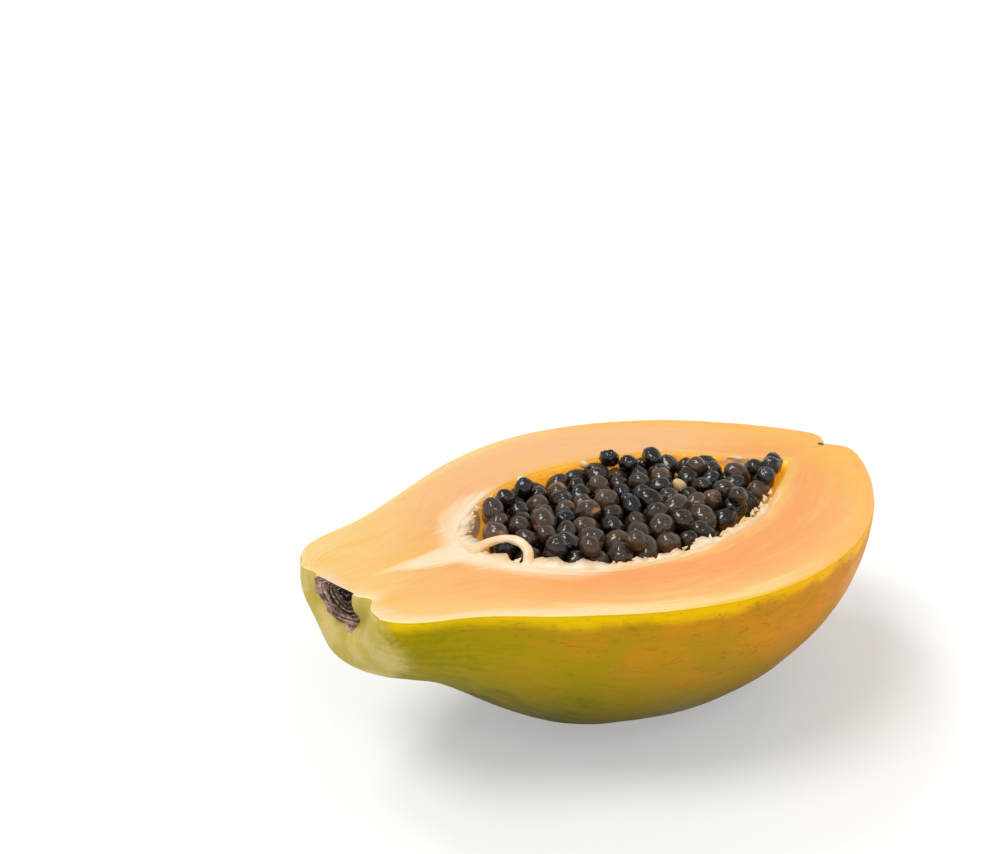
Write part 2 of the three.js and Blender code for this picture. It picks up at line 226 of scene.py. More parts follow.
def shoulders(r, angles):
    """How far the end of the neck stands out, on the far side and on the near side of the scar."""
    far = np.interp(r, far_shoulder[:, 0], far_shoulder[:, 1])
    near = np.interp(r, near_shoulder[:, 0], near_shoulder[:, 1])
    share = (1 + np.cos(angles)) / 2
    under = np.maximum(np.sin(2 * angles - UNDER_TURN), 0)
    middle = smooth_step(r, 6, 14) * (1 - smooth_step(r, 20, 40))
    return far * share + near * (1 - share) - UNDER_FULL * (under * middle)


def skin_points(angles):
    """Angles has one row for each ring."""
    x, r = profile[:, None, 0], profile[:, None, 1]
    points = place_skin(x, r, angles)
    points[..., 0] += shoulders(r, angles) * stalk_half
    return points


def corner(edge, inwards, radius):
    """Points of a turned-over edge, from its upright side to its level one."""
    turns = np.radians([30, 60, 90])
    level = edge[:, None] + inwards[:, None] * (radius[:, None] * (1 - np.cos(turns)))[..., None]
    level[..., 2] -= radius[:, None] * (1 - np.sin(turns))
    return level


def unit(vectors):
    return vectors / np.maximum(np.linalg.norm(vectors, axis=-1, keepdims=True), 1e-9)


def cut_strip(side_angle):
    """From the skin's edge to the hollow's, on the far side (0) or the near side (pi)."""
    turned = np.full((RINGS + 1, 1), side_angle)
    outer = skin_points(turned)[:, 0]
    inner = place_wall(hollow_line[:, :1], hollow_line[:, 1:], turned)[:, 0]
    outer[:, 2] = inner[:, 2] = 0
    inwards = unit(inner - outer)
    first = corner(outer, inwards, rim_radius)
    last = corner(inner, -inwards, hollow_rim_radius)[:, ::-1]
    shares = even_shares(CUT_COLUMNS)[None, 1:-1, None]
    flat = first[:, -1:] + (last[:, :1] - first[:, -1:]) * shares
    strip = np.concatenate([first, flat, last], axis=1)
    from_skin = np.linalg.norm(strip - outer[:, None], axis=-1)
    from_hollow = np.linalg.norm(strip - inner[:, None], axis=-1)
    return strip, from_skin, from_hollow


rim_radius = np.minimum(RIM_RADIUS, 0.25 * profile[:, 1])
hollow_rim_radius = np.minimum(HOLLOW_RIM_RADIUS, 0.25 * hollow_line[:, 1])
far_strip, far_rind, far_hollow = cut_strip(0)
near_strip, near_rind, near_hollow = cut_strip(np.pi)

rim_turn = np.arcsin(np.clip(rim_radius / np.maximum(profile[:, 1], 1), 0, 0.5))[:, None]
skin_angles = rim_turn + (np.pi - 2 * rim_turn) * even_shares(SKIN_SIDES)[None]
skin_grid = skin_points(skin_angles)
hollow_turn = np.arcsin(np.clip(hollow_rim_radius / np.maximum(hollow_line[:, 1], 1), 0, 0.5))[:, None]
hollow_angles = np.pi - hollow_turn - (np.pi - 2 * hollow_turn) * even_shares(HOLLOW_SIDES)[None]
hollow_grid = place_wall(hollow_line[:, :1], hollow_line[:, 1:], hollow_angles)
print("rings:", RINGS + 1, "points in each:", SKIN_SIDES + HOLLOW_SIDES + 2 * far_strip.shape[1] + 2)

# %% [markdown]
# A real skin is never quite even, so slow noise moves it in and out by a fraction of a millimetre.
# The weight of the fruit flattens its back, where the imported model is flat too.

# %% Uneven skin and a flattened back
SKIN_UNEVEN, DENT_SIZE, DENT_MIDDLE = 0.22, 17, 0.7
CUT_UNEVEN = 0.1


def noise_at(points, size, seed=0):
    shift = Vector((seed * 7.3, seed * 3.1, seed * 5.7))
    flat = points.reshape(-1, 3) / size
    values = [noise.noise(Vector(point) + shift) for point in flat]
    return np.array(values).reshape(points.shape[:-1])


dents = noise_at(skin_grid, DENT_SIZE) + 0.4 * noise_at(skin_grid, DENT_SIZE / 4, 2)
fade = smooth_step(-skin_grid[..., 2], 0, 6) * smooth_step(profile[:, None, 1], 7, 14)
away = unit(skin_grid * [0, 1, 1])
dent_depth = SKIN_UNEVEN * (dents + DENT_MIDDLE) * fade
skin_grid -= away * dent_depth[..., None]
box_low, box_high = ((np.array(point) - ORIGIN) / MM for point in (fruit_low, fruit_high))
skin_grid = np.clip(skin_grid, box_low, box_high)
for strip, rind, hollow in [(far_strip, far_rind, far_hollow), (near_strip, near_rind, near_hollow)]:
    strip[...] = np.clip(strip, box_low, box_high)
    inland = smooth_step(rind, 1, 5) * smooth_step(hollow, 1, 5)
    strip[..., 2] -= CUT_UNEVEN * inland * (1 + noise_at(strip, DENT_SIZE / 2, 4))
print("deepest dent:", round(float(dent_depth.max()), 2), "mm")

# %% [markdown]
# The loops also carry what the materials need to know at each point: how far along the fruit it
# is, and how far it is from the skin and from the hollow. A second value stays the same along each
# fibre, from the stalk past the hollow to the blossom end. Streaks can then follow the flesh round
# the seeds, which a pattern in plain space can't do.

# %% Join the loops and store the flow of the flesh
WALL_AWAY = 60
SKIN_ROUND = 40
FIBRE_SPREAD = 22


def smooth(mesh):
    mesh.polygons.foreach_set("use_smooth", [True] * len(mesh.polygons))


def show(name, data):
    shown = bpy.data.objects.new(name, data)
    bpy.context.scene.collection.objects.link(shown)
    return shown


def new_piece(name, vertices, faces):
    mesh = bpy.data.meshes.new(name)
    mesh.from_pydata([tuple(v) for v in in_metres(vertices)], [], [tuple(f) for f in faces])
    smooth(mesh)
    return show(name, mesh)


def store(piece, name, values, kind="FLOAT"):
    attribute = piece.data.attributes.new(name, kind, "POINT")
    key = "vector" if kind == "FLOAT_VECTOR" else "value"
    number = np.int32 if kind == "INT" else np.float32
    attribute.data.foreach_set(key, np.asarray(values, number).ravel())


def close_up(piece, distance=2e-7):
    """Merges the points that lie on each other and turns every face outwards."""
    edit = bmesh.new()
    edit.from_mesh(piece.data)
    bmesh.ops.remove_doubles(edit, verts=edit.verts, dist=distance)
    bmesh.ops.recalc_face_normals(edit, faces=edit.faces)
    open_edges = sum(not edge.is_manifold for edge in edit.edges)
    edit.to_mesh(piece.data)
    edit.free()
    print(piece.name, len(piece.data.polygons), "faces,", open_edges, "open edges")


def loop_faces(rings, points):
    ring, point = np.meshgrid(np.arange(rings - 1), np.arange(points), indexing="ij")
    here, beside = ring * points + point, ring * points + (point + 1) % points
    return np.stack([here, beside, beside + points, here + points], axis=-1).reshape(-1, 4)


loops = np.concatenate([skin_grid, near_strip, hollow_grid, far_strip[:, ::-1]], axis=1)
along = np.broadcast_to(profile[:, :1], loops.shape[:2])
on_skin, on_wall = 0 * skin_angles, 0 * hollow_angles
rind = np.concatenate([on_skin, near_rind, WALL_AWAY + on_wall, far_rind[:, ::-1]], axis=1)
from_hollow = np.concatenate([WALL_AWAY + on_skin, near_hollow, on_wall, far_hollow[:, ::-1]], axis=1)
flow = np.stack([along, rind, from_hollow], axis=-1)
flow[:, : SKIN_SIDES + 1, 1] = SKIN_ROUND * np.cos(skin_angles)
flow[:, : SKIN_SIDES + 1, 2] = SKIN_ROUND * np.sin(skin_angles)

body_line = skin_curve[np.argmin(skin_curve[:, 0]) : np.argmax(skin_curve[:, 0])]
outer_half = np.interp(loops[..., 0], body_line[:, 0], body_line[:, 1])
inner_half = np.interp(loops[..., 0], hollow_line[:, 0], hollow_line[:, 1], 0, 0)
off_middle = loops[..., 1] - drift(loops[..., 0])
between = (np.abs(off_middle) - inner_half) / np.maximum(outer_half - inner_half, 3)
fibre = np.stack([loops[..., 0], FIBRE_SPREAD * np.sign(off_middle) * between, 0 * between], axis=-1)

fruit = new_piece("fruit", loops.reshape(-1, 3), loop_faces(*loops.shape[:2]))
store(fruit, "flow", flow, "FLOAT_VECTOR")
store(fruit, "fibre", fibre, "FLOAT_VECTOR")
SKIN, FLESH, WALL = 0, 1, 2
cut_width = near_strip.shape[1]
row = np.arange(loops.shape[1])
first_wall = SKIN_SIDES + cut_width
last_wall = first_wall + HOLLOW_SIDES + 2
row_slot = np.where(row <= SKIN_SIDES, SKIN, np.where((row >= first_wall) & (row < last_wall), WALL, FLESH))
row_slot[-1] = SKIN
fruit.data.polygons.foreach_set("material_index", np.tile(row_slot, RINGS))
close_up(fruit)

# %% [markdown]
# ## Materials
# Each finish is a Principled shader fed by a few patterns. The helpers below only shorten the
# wiring. Patterns that several finishes share are node groups with named sockets.

# %% Short ways to wire nodes
class Wiring:
    """Adds nodes to one tree. An input may be a plain value or another node's output."""

    def __init__(self, tree):
        self.tree = tree

    def put(self, socket, value):
        if isinstance(value, bpy.types.NodeSocket):
            self.tree.links.new(value, socket)
        elif socket.type == "RGBA":
            socket.default_value = (*value, 1)
        else:
            socket.default_value = value

    def add(self, kind, inputs=None, **settings):
        node = self.tree.nodes.new(kind)
        for name, value in settings.items():
            setattr(node, name, value)
        for name, value in (inputs or {}).items():
            self.put(node.inputs[name], value)
        return node

    def calc(self, operation, first, second=0.0):
        return self.add("ShaderNodeMath", {0: first, 1: second}, operation=operation).outputs[0]

    def plus(self, first, second):
        return self.calc("ADD", first, second)

    def minus(self, first, second):
        return self.calc("SUBTRACT", first, second)

    def times(self, first, *others):
        for other in others:
            first = self.calc("MULTIPLY", first, other)
        return first

    def vector(self, operation, first, second):
        return self.add("ShaderNodeVectorMath", {0: first, 1: second}, operation=operation).outputs[0]

    def step(self, value, low, high, start=0.0, end=1.0):
        """A soft step from start to end as the value goes from low to high."""
        inputs = {"Value": value, "From Min": low, "From Max": high, "To Min": start, "To Max": end}
        return self.add("ShaderNodeMapRange", inputs, interpolation_type="SMOOTHSTEP").outputs["Result"]

    def sway(self, pattern, reach, low=0.3, high=0.7):
        """A pattern turned into a shift of at most the reach, either way."""
        return self.step(pattern, low, high, -reach, reach)

    def blend(self, share, first, second, way="MIX"):
        """Mixes two colours."""
        inputs = {0: share, 6: first, 7: second}
        return self.add("ShaderNodeMix", inputs, data_type="RGBA", blend_type=way).outputs[2]

    def paint(self, colour, layer, *masks, way="MIX"):
        """Lays one colour over another where all the masks are."""
        return self.blend(self.times(*masks), colour, layer, way)

    def ramp(self, value, stops):
        node = self.add("ShaderNodeValToRGB", {"Fac": value})
        elements = node.color_ramp.elements
        while len(elements) < len(stops):
            elements.new(1.0)
        for element, (position, colour) in zip(elements, stops):
            element.position = position
            element.color = (*colour, 1)
        return node.outputs["Color"]

    def noise(self, place, scale, detail=3.0, roughness=0.5, distortion=0.0):
        inputs = {"Vector": place, "Scale": scale, "Detail": detail, "Roughness": roughness}
        inputs["Distortion"] = distortion
        return self.add("ShaderNodeTexNoise", inputs).outputs["Fac"]

    def attribute(self, name, output="Vector"):
        return self.add("ShaderNodeAttribute", attribute_name=name).outputs[output]

    def use(self, group, inputs):
        """The one output of a shared pattern."""
        return self.add("ShaderNodeGroup", inputs, node_tree=group.tree).outputs[0]


def new_tree(name, kind, inputs, output):
    """A node group with its named sockets. Each input is (name, socket type, default value)."""
    tree = bpy.data.node_groups.new(name, kind)
    for socket_name, socket_type, value in inputs:
        socket = tree.interface.new_socket(name=socket_name, in_out="INPUT", socket_type=socket_type)
        if value is not None:
            socket.default_value = value
    tree.interface.new_socket(name=output[0], in_out="OUTPUT", socket_type=output[1])
    inside = tree.nodes.new("NodeGroupInput").outputs
    outside = tree.nodes.new("NodeGroupOutput").inputs
    return Wiring(tree), inside, outside


# %% [markdown]
# Three effects are shared. Fibres run lengthwise through skin and flesh. Every wet surface is wet
# in patches, so its gloss is uneven. And all of them have a fine grain that catches the light.

# %% Shared patterns: fibres, wet patches and fine grain
FLOAT, VECTOR, SHADER_TREE = "NodeSocketFloat", "NodeSocketVector", "ShaderNodeTree"

fibres, inside, outside = new_tree("Lengthwise fibres", SHADER_TREE, [
    ("Flow", VECTOR, None), ("Length", FLOAT, 30.0), ("Width", FLOAT, 2.0), ("Seed", FLOAT, 0.0),
], ("Fibres", FLOAT))
across = fibres.calc("DIVIDE", 1.0, inside["Width"])
lengthwise = fibres.calc("DIVIDE", 1.0, inside["Length"])
scale = fibres.add("ShaderNodeCombineXYZ", {"X": lengthwise, "Y": across, "Z": across}).outputs[0]
place = fibres.vector("ADD", fibres.vector("MULTIPLY", inside["Flow"], scale), inside["Seed"])
fibres.put(outside["Fibres"], fibres.noise(place, 1.0, 4.0, 0.55, 0.4))

wetness, inside, outside = new_tree("Wet patches", SHADER_TREE, [
    ("Place", VECTOR, None), ("Patch Size", FLOAT, 0.004), ("Wet", FLOAT, 0.15), ("Dry", FLOAT, 0.45),
], ("Roughness", FLOAT))
patches = wetness.noise(inside["Place"], wetness.calc("DIVIDE", 1.0, inside["Patch Size"]), 2.0)
patch_range = wetness.add("ShaderNodeMapRange", {
    "Value": patches, "From Min": 0.35, "From Max": 0.65, "To Min": inside["Wet"], "To Max": inside["Dry"],
})
wetness.put(outside["Roughness"], patch_range.outputs["Result"])

grain, inside, outside = new_tree("Fine grain", SHADER_TREE, [
    ("Place", VECTOR, None), ("Grain Size", FLOAT, 0.0006), ("Detail", FLOAT, 4.0),
], ("Height", FLOAT))
grain_scale = grain.calc("DIVIDE", 1.0, inside["Grain Size"])
grain.put(outside["Height"], grain.noise(inside["Place"], grain_scale, inside["Detail"]))
print("groups:", fibres.tree.name, wetness.tree.name, grain.tree.name)


# %% One way to start and end every material
def new_finish(name):
    """A new material with its wiring, its shader and the place on the object."""
    material = bpy.data.materials.new(name)
    material.use_nodes = True
    wires = Wiring(material.node_tree)
    shader = material.node_tree.nodes["Principled BSDF"]
    return material, wires, shader, wires.add("ShaderNodeTexCoord").outputs["Object"]


def set_shader(wires, shader, height, relief, strength=1.0, **inputs):
    """Sets the named inputs and a bump of the given relief in metres."""
    bump = wires.add("ShaderNodeBump", {"Distance": relief, "Strength": strength, "Height": height})
    wires.put(shader.inputs["Normal"], bump.outputs["Normal"])
    for name, value in inputs.items():
        wires.put(shader.inputs[name.replace("_", " ")], value)


def on_fruit(wires, place):
    """The place in millimetres, from the stalk scar and the cut, whole and as three values."""
    moved = wires.vector("SUBTRACT", place, tuple(ORIGIN))
    millimetres = wires.vector("MULTIPLY", moved, (1 / MM, 1 / MM, 1 / MM))
    parts = wires.add("ShaderNodeSeparateXYZ", {"Vector": millimetres})
    return millimetres, parts.outputs


# %% [markdown]
# ## Skin
# The skin ripens from the blossom end and from the top: green at the neck and underneath, olive in
# between, gold and then orange towards the blossom end, and clear yellow along the cut, where light
# comes through the thin rind. Green smudges stay on its lower half, and painted shade darkens it
# towards the floor. Fine fibres, soft mottling and a few dark freckles break it up, and the face of
# the neck is paler.

# %% Waxy ripening skin
SKIN_RIPENING = [
    (0.0, (0.14, 0.14, 0.0)), (0.22, (0.34, 0.262, 0.0)), (0.42, (0.435, 0.242, 0.006)),
    (0.68, (0.64, 0.245, 0.008)), (0.95, (0.8, 0.37, 0.07)),
]
SKIN_SMUDGE = (0.34, 0.262, 0.0)
SKIN_RIM_GREEN, SKIN_RIM_GOLD = (0.72, 0.49, 0.0), (0.98, 0.48, 0.0)
STALK_FACE, STALK_PALE = (0.47, 0.385, 0.08), (0.58, 0.455, 0.17)
SKIN_PAINTED_SHADE = (0.2, 0.23, 0.05)
HAIR_LINE = (0.5, 0.42, 0.3)
FRECKLE = (0.11, 0.07, 0.015)

skin_finish, skin, shader, place = new_finish("Waxy ripening skin")
millimetres, (along_x, along_y, along_z) = on_fruit(skin, place)
skin_flow = skin.attribute("flow")
streaks = skin.use(fibres, {"Length": 26.0, "Width": 2.2, "Seed": 3.0, "Flow": skin_flow})
hair_streaks = skin.use(fibres, {"Length": 13.0, "Width": 1.9, "Seed": 11.0, "Flow": skin_flow})
mottle = skin.noise(millimetres, 0.06, 4.0, 0.55, 0.3)
fine_mottle = skin.noise(millimetres, 0.45, 3.0, 0.6)

ripe_high = skin.step(along_z, -50.0, 4.0, -0.2, 0.1)
ripeness = skin.plus(skin.step(along_x, -15.0, 172.0, 0.16, 0.82), ripe_high)
for pattern, reach in ((mottle, 0.09), (streaks, 0.035), (fine_mottle, 0.035)):
    ripeness = skin.plus(ripeness, skin.sway(pattern, reach))
colour = skin.ramp(ripeness, SKIN_RIPENING)

rim_colour = skin.blend(skin.step(along_x, 10.0, 130.0), SKIN_RIM_GREEN, SKIN_RIM_GOLD)
rim_height = skin.plus(along_z, skin.sway(mottle, 1.2))
colour = skin.paint(colour, rim_colour, skin.step(rim_height, -4.4, -0.9), skin.step(along_x, 0.5, 5.0))

smudges = skin.step(skin.noise(millimetres, 0.075, 5.0, 0.62, 0.6), 0.5, 0.66, 0.0, 0.62)
colour = skin.paint(colour, SKIN_SMUDGE, smudges, skin.step(along_z, -10.0, -38.0))
# Painted shade: the skin is multiplied darker towards the bottom, where it turns under towards the floor.
colour = skin.paint(colour, SKIN_PAINTED_SHADE, skin.step(along_z, -9.0, -47.0), way="MULTIPLY")

off_line = skin.calc("ABSOLUTE", skin.minus(hair_streaks, 0.5))
hair_share = skin.step(fine_mottle, 0.4, 0.65, 0.12, 0.55)
colour = skin.paint(colour, HAIR_LINE, skin.step(off_line, 0.024, 0.0), hair_share, way="MULTIPLY")

freckle_cells = skin.add("ShaderNodeTexVoronoi", {"Scale": 0.33, "Vector": millimetres})
freckle_size = skin.minus(skin.times(skin.noise(millimetres, 0.2, 1.0), 0.26), 0.075)
freckles = skin.calc("LESS_THAN", freckle_cells.outputs["Distance"], freckle_size)
colour = skin.paint(colour, FRECKLE, freckles, 0.45)

stalk_way = skin.plus(skin.plus(along_x, skin.times(along_z, 0.12)), skin.sway(fine_mottle, 1.0))
stalk_side = skin.plus(skin.minus(along_y, skin.times(along_z, 0.45)), skin.sway(fine_mottle, 1.5))
face_clouds = skin.plus(skin.noise(millimetres, 0.14, 3.0, 0.5, 0.4), skin.sway(streaks, 0.05))
stalk_colour = skin.blend(skin.step(face_clouds, 0.38, 0.62), STALK_FACE, STALK_PALE)
stalk_share = skin.step(stalk_way, 9.0, 3.0, 0.0, 0.92)
colour = skin.paint(colour, stalk_colour, stalk_share, skin.step(stalk_side, -19.5, -14.5))

skin_grain = skin.use(grain, {"Grain Size": 0.0011, "Place": place})
skin_gloss = skin.use(wetness, {"Patch Size": 0.02, "Wet": 0.38, "Dry": 0.55, "Place": place})
set_shader(
    skin, shader, skin.plus(skin_grain, skin.times(hair_streaks, 0.8)), 0.00014, 0.8,
    Base_Color=colour, Roughness=skin_gloss, Specular_IOR_Level=0.04,
)

# %% [markdown]
# ## Flesh
# Under the rind the flesh is pale cream, then yellow, then salmon, and yellow and cream again
# where it meets the hollow. It is paler towards the stalk and more golden at the blossom end. The
# distances stored on the mesh drive this, and fibres bend the borders so that none of them is even.

# %% Ripe flesh of the cut face
FLESH_CREAM = (0.93, 0.67, 0.28)
FLESH_YELLOW = (0.93, 0.54, 0.19)
FLESH_INWARDS = [
    (0.0, FLESH_CREAM), (0.13, FLESH_CREAM), (0.24, FLESH_YELLOW), (0.42, (0.93, 0.45, 0.15)),
    (0.7, (0.93, 0.385, 0.125)),
]
FLESH_RIND_LINE = (0.84, 0.52, 0.02)
FLESH_PALE = (0.92, 0.59, 0.205)
FLESH_PALE_EDGE = (0.91, 0.67, 0.27)
FLESH_RIGHT_RIM = (0.95, 0.5, 0.13)
FLESH_LEFT_RIM = (0.95, 0.75, 0.44)
FLESH_GOLD = (0.93, 0.49, 0.07)
FLESH_FAR = (0.93, 0.53, 0.25)
FLESH_BLOTCH = (0.93, 0.5, 0.11)
FLESH_SCAR_EDGE = (0.92, 0.67, 0.5)
FLESH_ORANGE_EDGE = (0.93, 0.5, 0.07)
PULP_WHITE = (0.94, 0.79, 0.54)
FIBRE_TINT = [(0.3, (0.95, 0.88, 0.8)), (0.5, (1, 1, 1)), (0.7, (1, 1, 1))]
BLOTCHES = [(5, 13, 7, 4), (21, 5.5, 8, 2.6), (9, -11, 8, 3.5), (15, 17, 9, 3)]

flesh_finish, flesh, shader, place = new_finish("Ripe flesh")
millimetres, (along_x, along_y, along_z) = on_fruit(flesh, place)
_, from_skin, from_hollow = flesh.add("ShaderNodeSeparateXYZ", {"Vector": flesh.attribute("flow")}).outputs
fibre_flow = flesh.attribute("fibre")
wide_streaks = flesh.use(fibres, {"Length": 34.0, "Width": 4.0, "Seed": 1.0, "Flow": fibre_flow})
fine_streaks = flesh.use(fibres, {"Length": 11.0, "Width": 0.9, "Seed": 8.0, "Flow": fibre_flow})
blotches = flesh.noise(millimetres, 0.07, 3.0, 0.5, 0.5)

bend = flesh.plus(flesh.sway(wide_streaks, 3.4, 0.25, 0.75), flesh.sway(fine_streaks, 0.7))
inland = flesh.times(bend, flesh.step(from_skin, 1.0, 6.0))
colour = flesh.ramp(flesh.times(flesh.plus(from_skin, inland), 0.05), FLESH_INWARDS)

far_way = flesh.plus(along_y, flesh.sway(blotches, 6.0, 0.2, 0.8))
far_share = flesh.step(far_way, 6.0, 30.0, 0.0, 0.8)
colour = flesh.paint(colour, FLESH_FAR, far_share, flesh.step(from_skin, 1.0, 5.0))
wisps = flesh.step(wide_streaks, 0.5, 0.66, 0.0, 0.5)
colour = flesh.paint(colour, FLESH_YELLOW, wisps, flesh.step(from_skin, 2.0, 6.0))
ripe_rind = flesh.step(along_x, 20.0, 110.0, 0.25, 0.95)
colour = flesh.paint(colour, FLESH_RIND_LINE, flesh.step(from_skin, 1.1, 0.35), ripe_rind)
colour = flesh.paint(
    colour, FLESH_PALE, flesh.step(along_x, 58.0, 6.0, 0.0, 0.8),
    flesh.step(wide_streaks, 0.3, 0.7, 1.2, 0.6), flesh.step(from_skin, 0.4, 2.0),
)
colour = flesh.paint(
    colour, FLESH_PALE_EDGE, flesh.step(along_x, 34.0, 4.0), flesh.step(along_y, 2.0, 16.0, 0.0, 0.75),
)
right_share = flesh.step(along_x, 72.0, 122.0)
colour = flesh.paint(colour, FLESH_RIGHT_RIM, right_share, flesh.step(from_skin, 8.5, 2.0))
colour = flesh.paint(
    colour, FLESH_LEFT_RIM, flesh.step(along_x, 74.0, 40.0),
    flesh.step(from_skin, 6.0, 1.5, 0.0, 0.7), flesh.step(along_y, 0.0, -8.0),
)
colour = flesh.paint(
    colour, FLESH_GOLD, flesh.step(along_x, 118.0, 158.0, 0.0, 0.75),
    flesh.step(blotches, 0.3, 0.7, 0.6, 1.1), flesh.step(from_skin, 0.4, 3.0),
)
for blotch_x, blotch_y, reach_x, reach_y in BLOTCHES:
    apart = flesh.vector("SUBTRACT", millimetres, (blotch_x, blotch_y, 0))
    shrunk = flesh.vector("MULTIPLY", apart, (1 / reach_x, 1 / reach_y, 0))
    length = flesh.add("ShaderNodeVectorMath", {0: shrunk}, operation="LENGTH").outputs["Value"]
    uneven = flesh.plus(length, flesh.sway(wide_streaks, 0.35))
    colour = flesh.paint(colour, FLESH_BLOTCH, flesh.step(uneven, 1.2, 0.1, 0.0, 0.6))
colour = flesh.paint(
    colour, FLESH_SCAR_EDGE, flesh.step(along_x, 3.4, 0.4, 0.0, 0.75),
    flesh.step(along_y, 9.0, 6.0), flesh.step(along_y, -10.0, -6.5),
)

# %% Where the flesh meets the pulp, and its pale core
near_side = flesh.step(flesh.plus(along_y, flesh.sway(blotches, 4.0, 0.2, 0.8)), 8.0, -8.0)
pulp_side = flesh.calc("MAXIMUM", near_side, flesh.step(along_x, 66.0, 50.0))
pulp_side = flesh.times(pulp_side, flesh.step(along_x, 132.0, 118.0))
half_bend = flesh.times(bend, 0.5)
hollow_way = flesh.minus(from_hollow, half_bend)
colour = flesh.paint(colour, FLESH_YELLOW, flesh.step(hollow_way, 6.0, 0.6, 0.0, 0.8))
bare_share = flesh.step(pulp_side, 0.8, 0.2)
colour = flesh.paint(colour, FLESH_ORANGE_EDGE, flesh.step(hollow_way, 3.4, 0.3), bare_share)
cream_way = flesh.calc("DIVIDE", hollow_way, flesh.step(along_x, 44.0, 74.0, 9.0, 1.6))
cream_strength = flesh.step(along_x, 50.0, 80.0, 1.0, 0.65)
colour = flesh.paint(colour, PULP_WHITE, flesh.step(cream_way, 1.0, 0.15), pulp_side, cream_strength)

core_off = flesh.calc("ABSOLUTE", flesh.plus(along_y, half_bend))
core_way = flesh.calc("DIVIDE", core_off, flesh.step(along_x, 8.0, 37.0, 0.6, 6.5))
colour = flesh.paint(
    colour, PULP_WHITE, flesh.step(core_way, 1.0, 0.25),
    flesh.step(along_x, 4.0, 24.0, 0.0, 0.95), flesh.step(along_x, 42.0, 37.0),
)
colour = flesh.paint(colour, flesh.ramp(fine_streaks, FIBRE_TINT), 0.7, way="MULTIPLY")
flesh_grain = flesh.use(grain, {"Grain Size": 0.0009, "Place": place})
flesh_gloss = flesh.use(wetness, {"Patch Size": 0.007, "Wet": 0.3, "Dry": 0.5, "Place": place})
set_shader(
    flesh, shader, flesh.plus(flesh.times(flesh_grain, 0.6), fine_streaks), 0.0001, 0.6,
    Base_Color=colour, Roughness=flesh_gloss, Specular_IOR_Level=0.3,
    Subsurface_Weight=0.22, Subsurface_Radius=(1.0, 0.45, 0.2), Subsurface_Scale=0.0035,
)

# %% [markdown]
# The wall of the hollow is the deepest orange of the fruit, wet, and crossed by pale threads that
# held the seeds. Light soaks through the flesh from above and leaves through the wall, far deeper
# than a fast subsurface effect can carry it, so a faint glow of the same colour stands in for it.

# %% Wet wall of the hollow
WALL_THREADS = [
    (0.3, (0.97, 0.26, 0.005)), (0.5, (0.97, 0.42, 0.02)), (0.66, (0.97, 0.5, 0.05)),
    (0.78, (0.96, 0.72, 0.34)),
]
WALL_TOP = (0.97, 0.46, 0.04)
WALL_GLOW = 0.45

wall_finish, wall, shader, place = new_finish("Wet hollow wall")
millimetres, (_, _, along_z) = on_fruit(wall, place)
threads = wall.use(fibres, {"Length": 5.0, "Width": 1.6, "Seed": 5.0, "Flow": millimetres})
colour = wall.paint(wall.ramp(threads, WALL_THREADS), WALL_TOP, wall.step(along_z, -2.2, -0.1, 0.0, 0.75))
wall_gloss = wall.use(wetness, {"Patch Size": 0.003, "Wet": 0.12, "Dry": 0.35, "Place": place})
set_shader(
    wall, shader, threads, 0.0006, 0.8,
    Base_Color=colour, Roughness=wall_gloss, Emission_Color=colour, Emission_Strength=WALL_GLOW,
    Subsurface_Weight=0.5, Subsurface_Radius=(1.0, 0.55, 0.12), Subsurface_Scale=0.004,
)
for finish in (skin_finish, flesh_finish, wall_finish):
    fruit.data.materials.append(finish)
print("fruit materials:", [m.name for m in fruit.data.materials])

# %% [markdown]
# ## The seeds' places
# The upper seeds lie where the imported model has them, by the same rule with the same numbers from
# the dice: a shaken grid of sixes that is settled until no two overlap. Deeper seeds follow by a
# wider version of the rule, because dark gaps between seeds only look deep if something is there.
# At the blossom end, where the heap sank most, the wet wall shows above a few seeds on the far side.

# %% The dice, the strand's route and the seed rule
SEED_RADIUS, SEED_SPREAD, SEED_LENGTH = 2.95, 0.3, 1.1
SEED_PITCH, SEED_SHAKE, SEED_LIFT, SEED_TILT = 7.1, 1.2, 0.9, 0.8
HEAP_TOP, HEAP_FALL, SETTLE_PASSES = -0.7, 3.3, 60
PULP_THICKNESS, TUFT_REACH, GAP = 2.6, 0.9, 0.3
STRAND_RADIUS, STRAND_POINTS = 1.4, 44
WALL_DENSE, WALL_POINTS, HOLLOW_HALF = 200, 60, 29
STRAND_ROUTE = [
    [36.6, 0.6, -2.2], [39.8, 2.2, 0.9], [44.4, 1.2, 2.8], [48.2, -3.4, 3], [48.6, -8.6, 2],
    [47.2, -13.4, 0.2], [46, -16.2, -3],
]


def make_dice(state):
    """Numbers from 0 to 1 that look random and are the same each time."""
    while True:
        state = (state * 1664525 + 1013904223) % 2**32
        yield state / 2**32


def cord_curve(route, count):
    """A centripetal Catmull-Rom curve, which has no loops where its points lie close."""
    points = np.array(route, float)
    points = np.vstack([2 * points[0] - points[1], points, 2 * points[-1] - points[-2]])
    result = []
    for way in np.linspace(0, len(route) - 1, count + 1):
        span = min(int(way), len(route) - 2)
        p0, p1, p2, p3 = points[span : span + 4]
        d0, d1, d2 = (np.linalg.norm(b - a) ** 0.5 for a, b in ((p0, p1), (p1, p2), (p2, p3)))
        start = ((p1 - p0) / d0 - (p2 - p0) / (d0 + d1) + (p2 - p1) / d1) * d1
        end = ((p2 - p1) / d1 - (p3 - p1) / (d1 + d2) + (p3 - p2) / d2) * d1
        t = way - span
        square, cubic = 3 * (p2 - p1) - 2 * start - end, 2 * (p1 - p2) + start + end
        result.append(p1 + start * t + square * t**2 + cubic * t**3)
    return np.array(result)


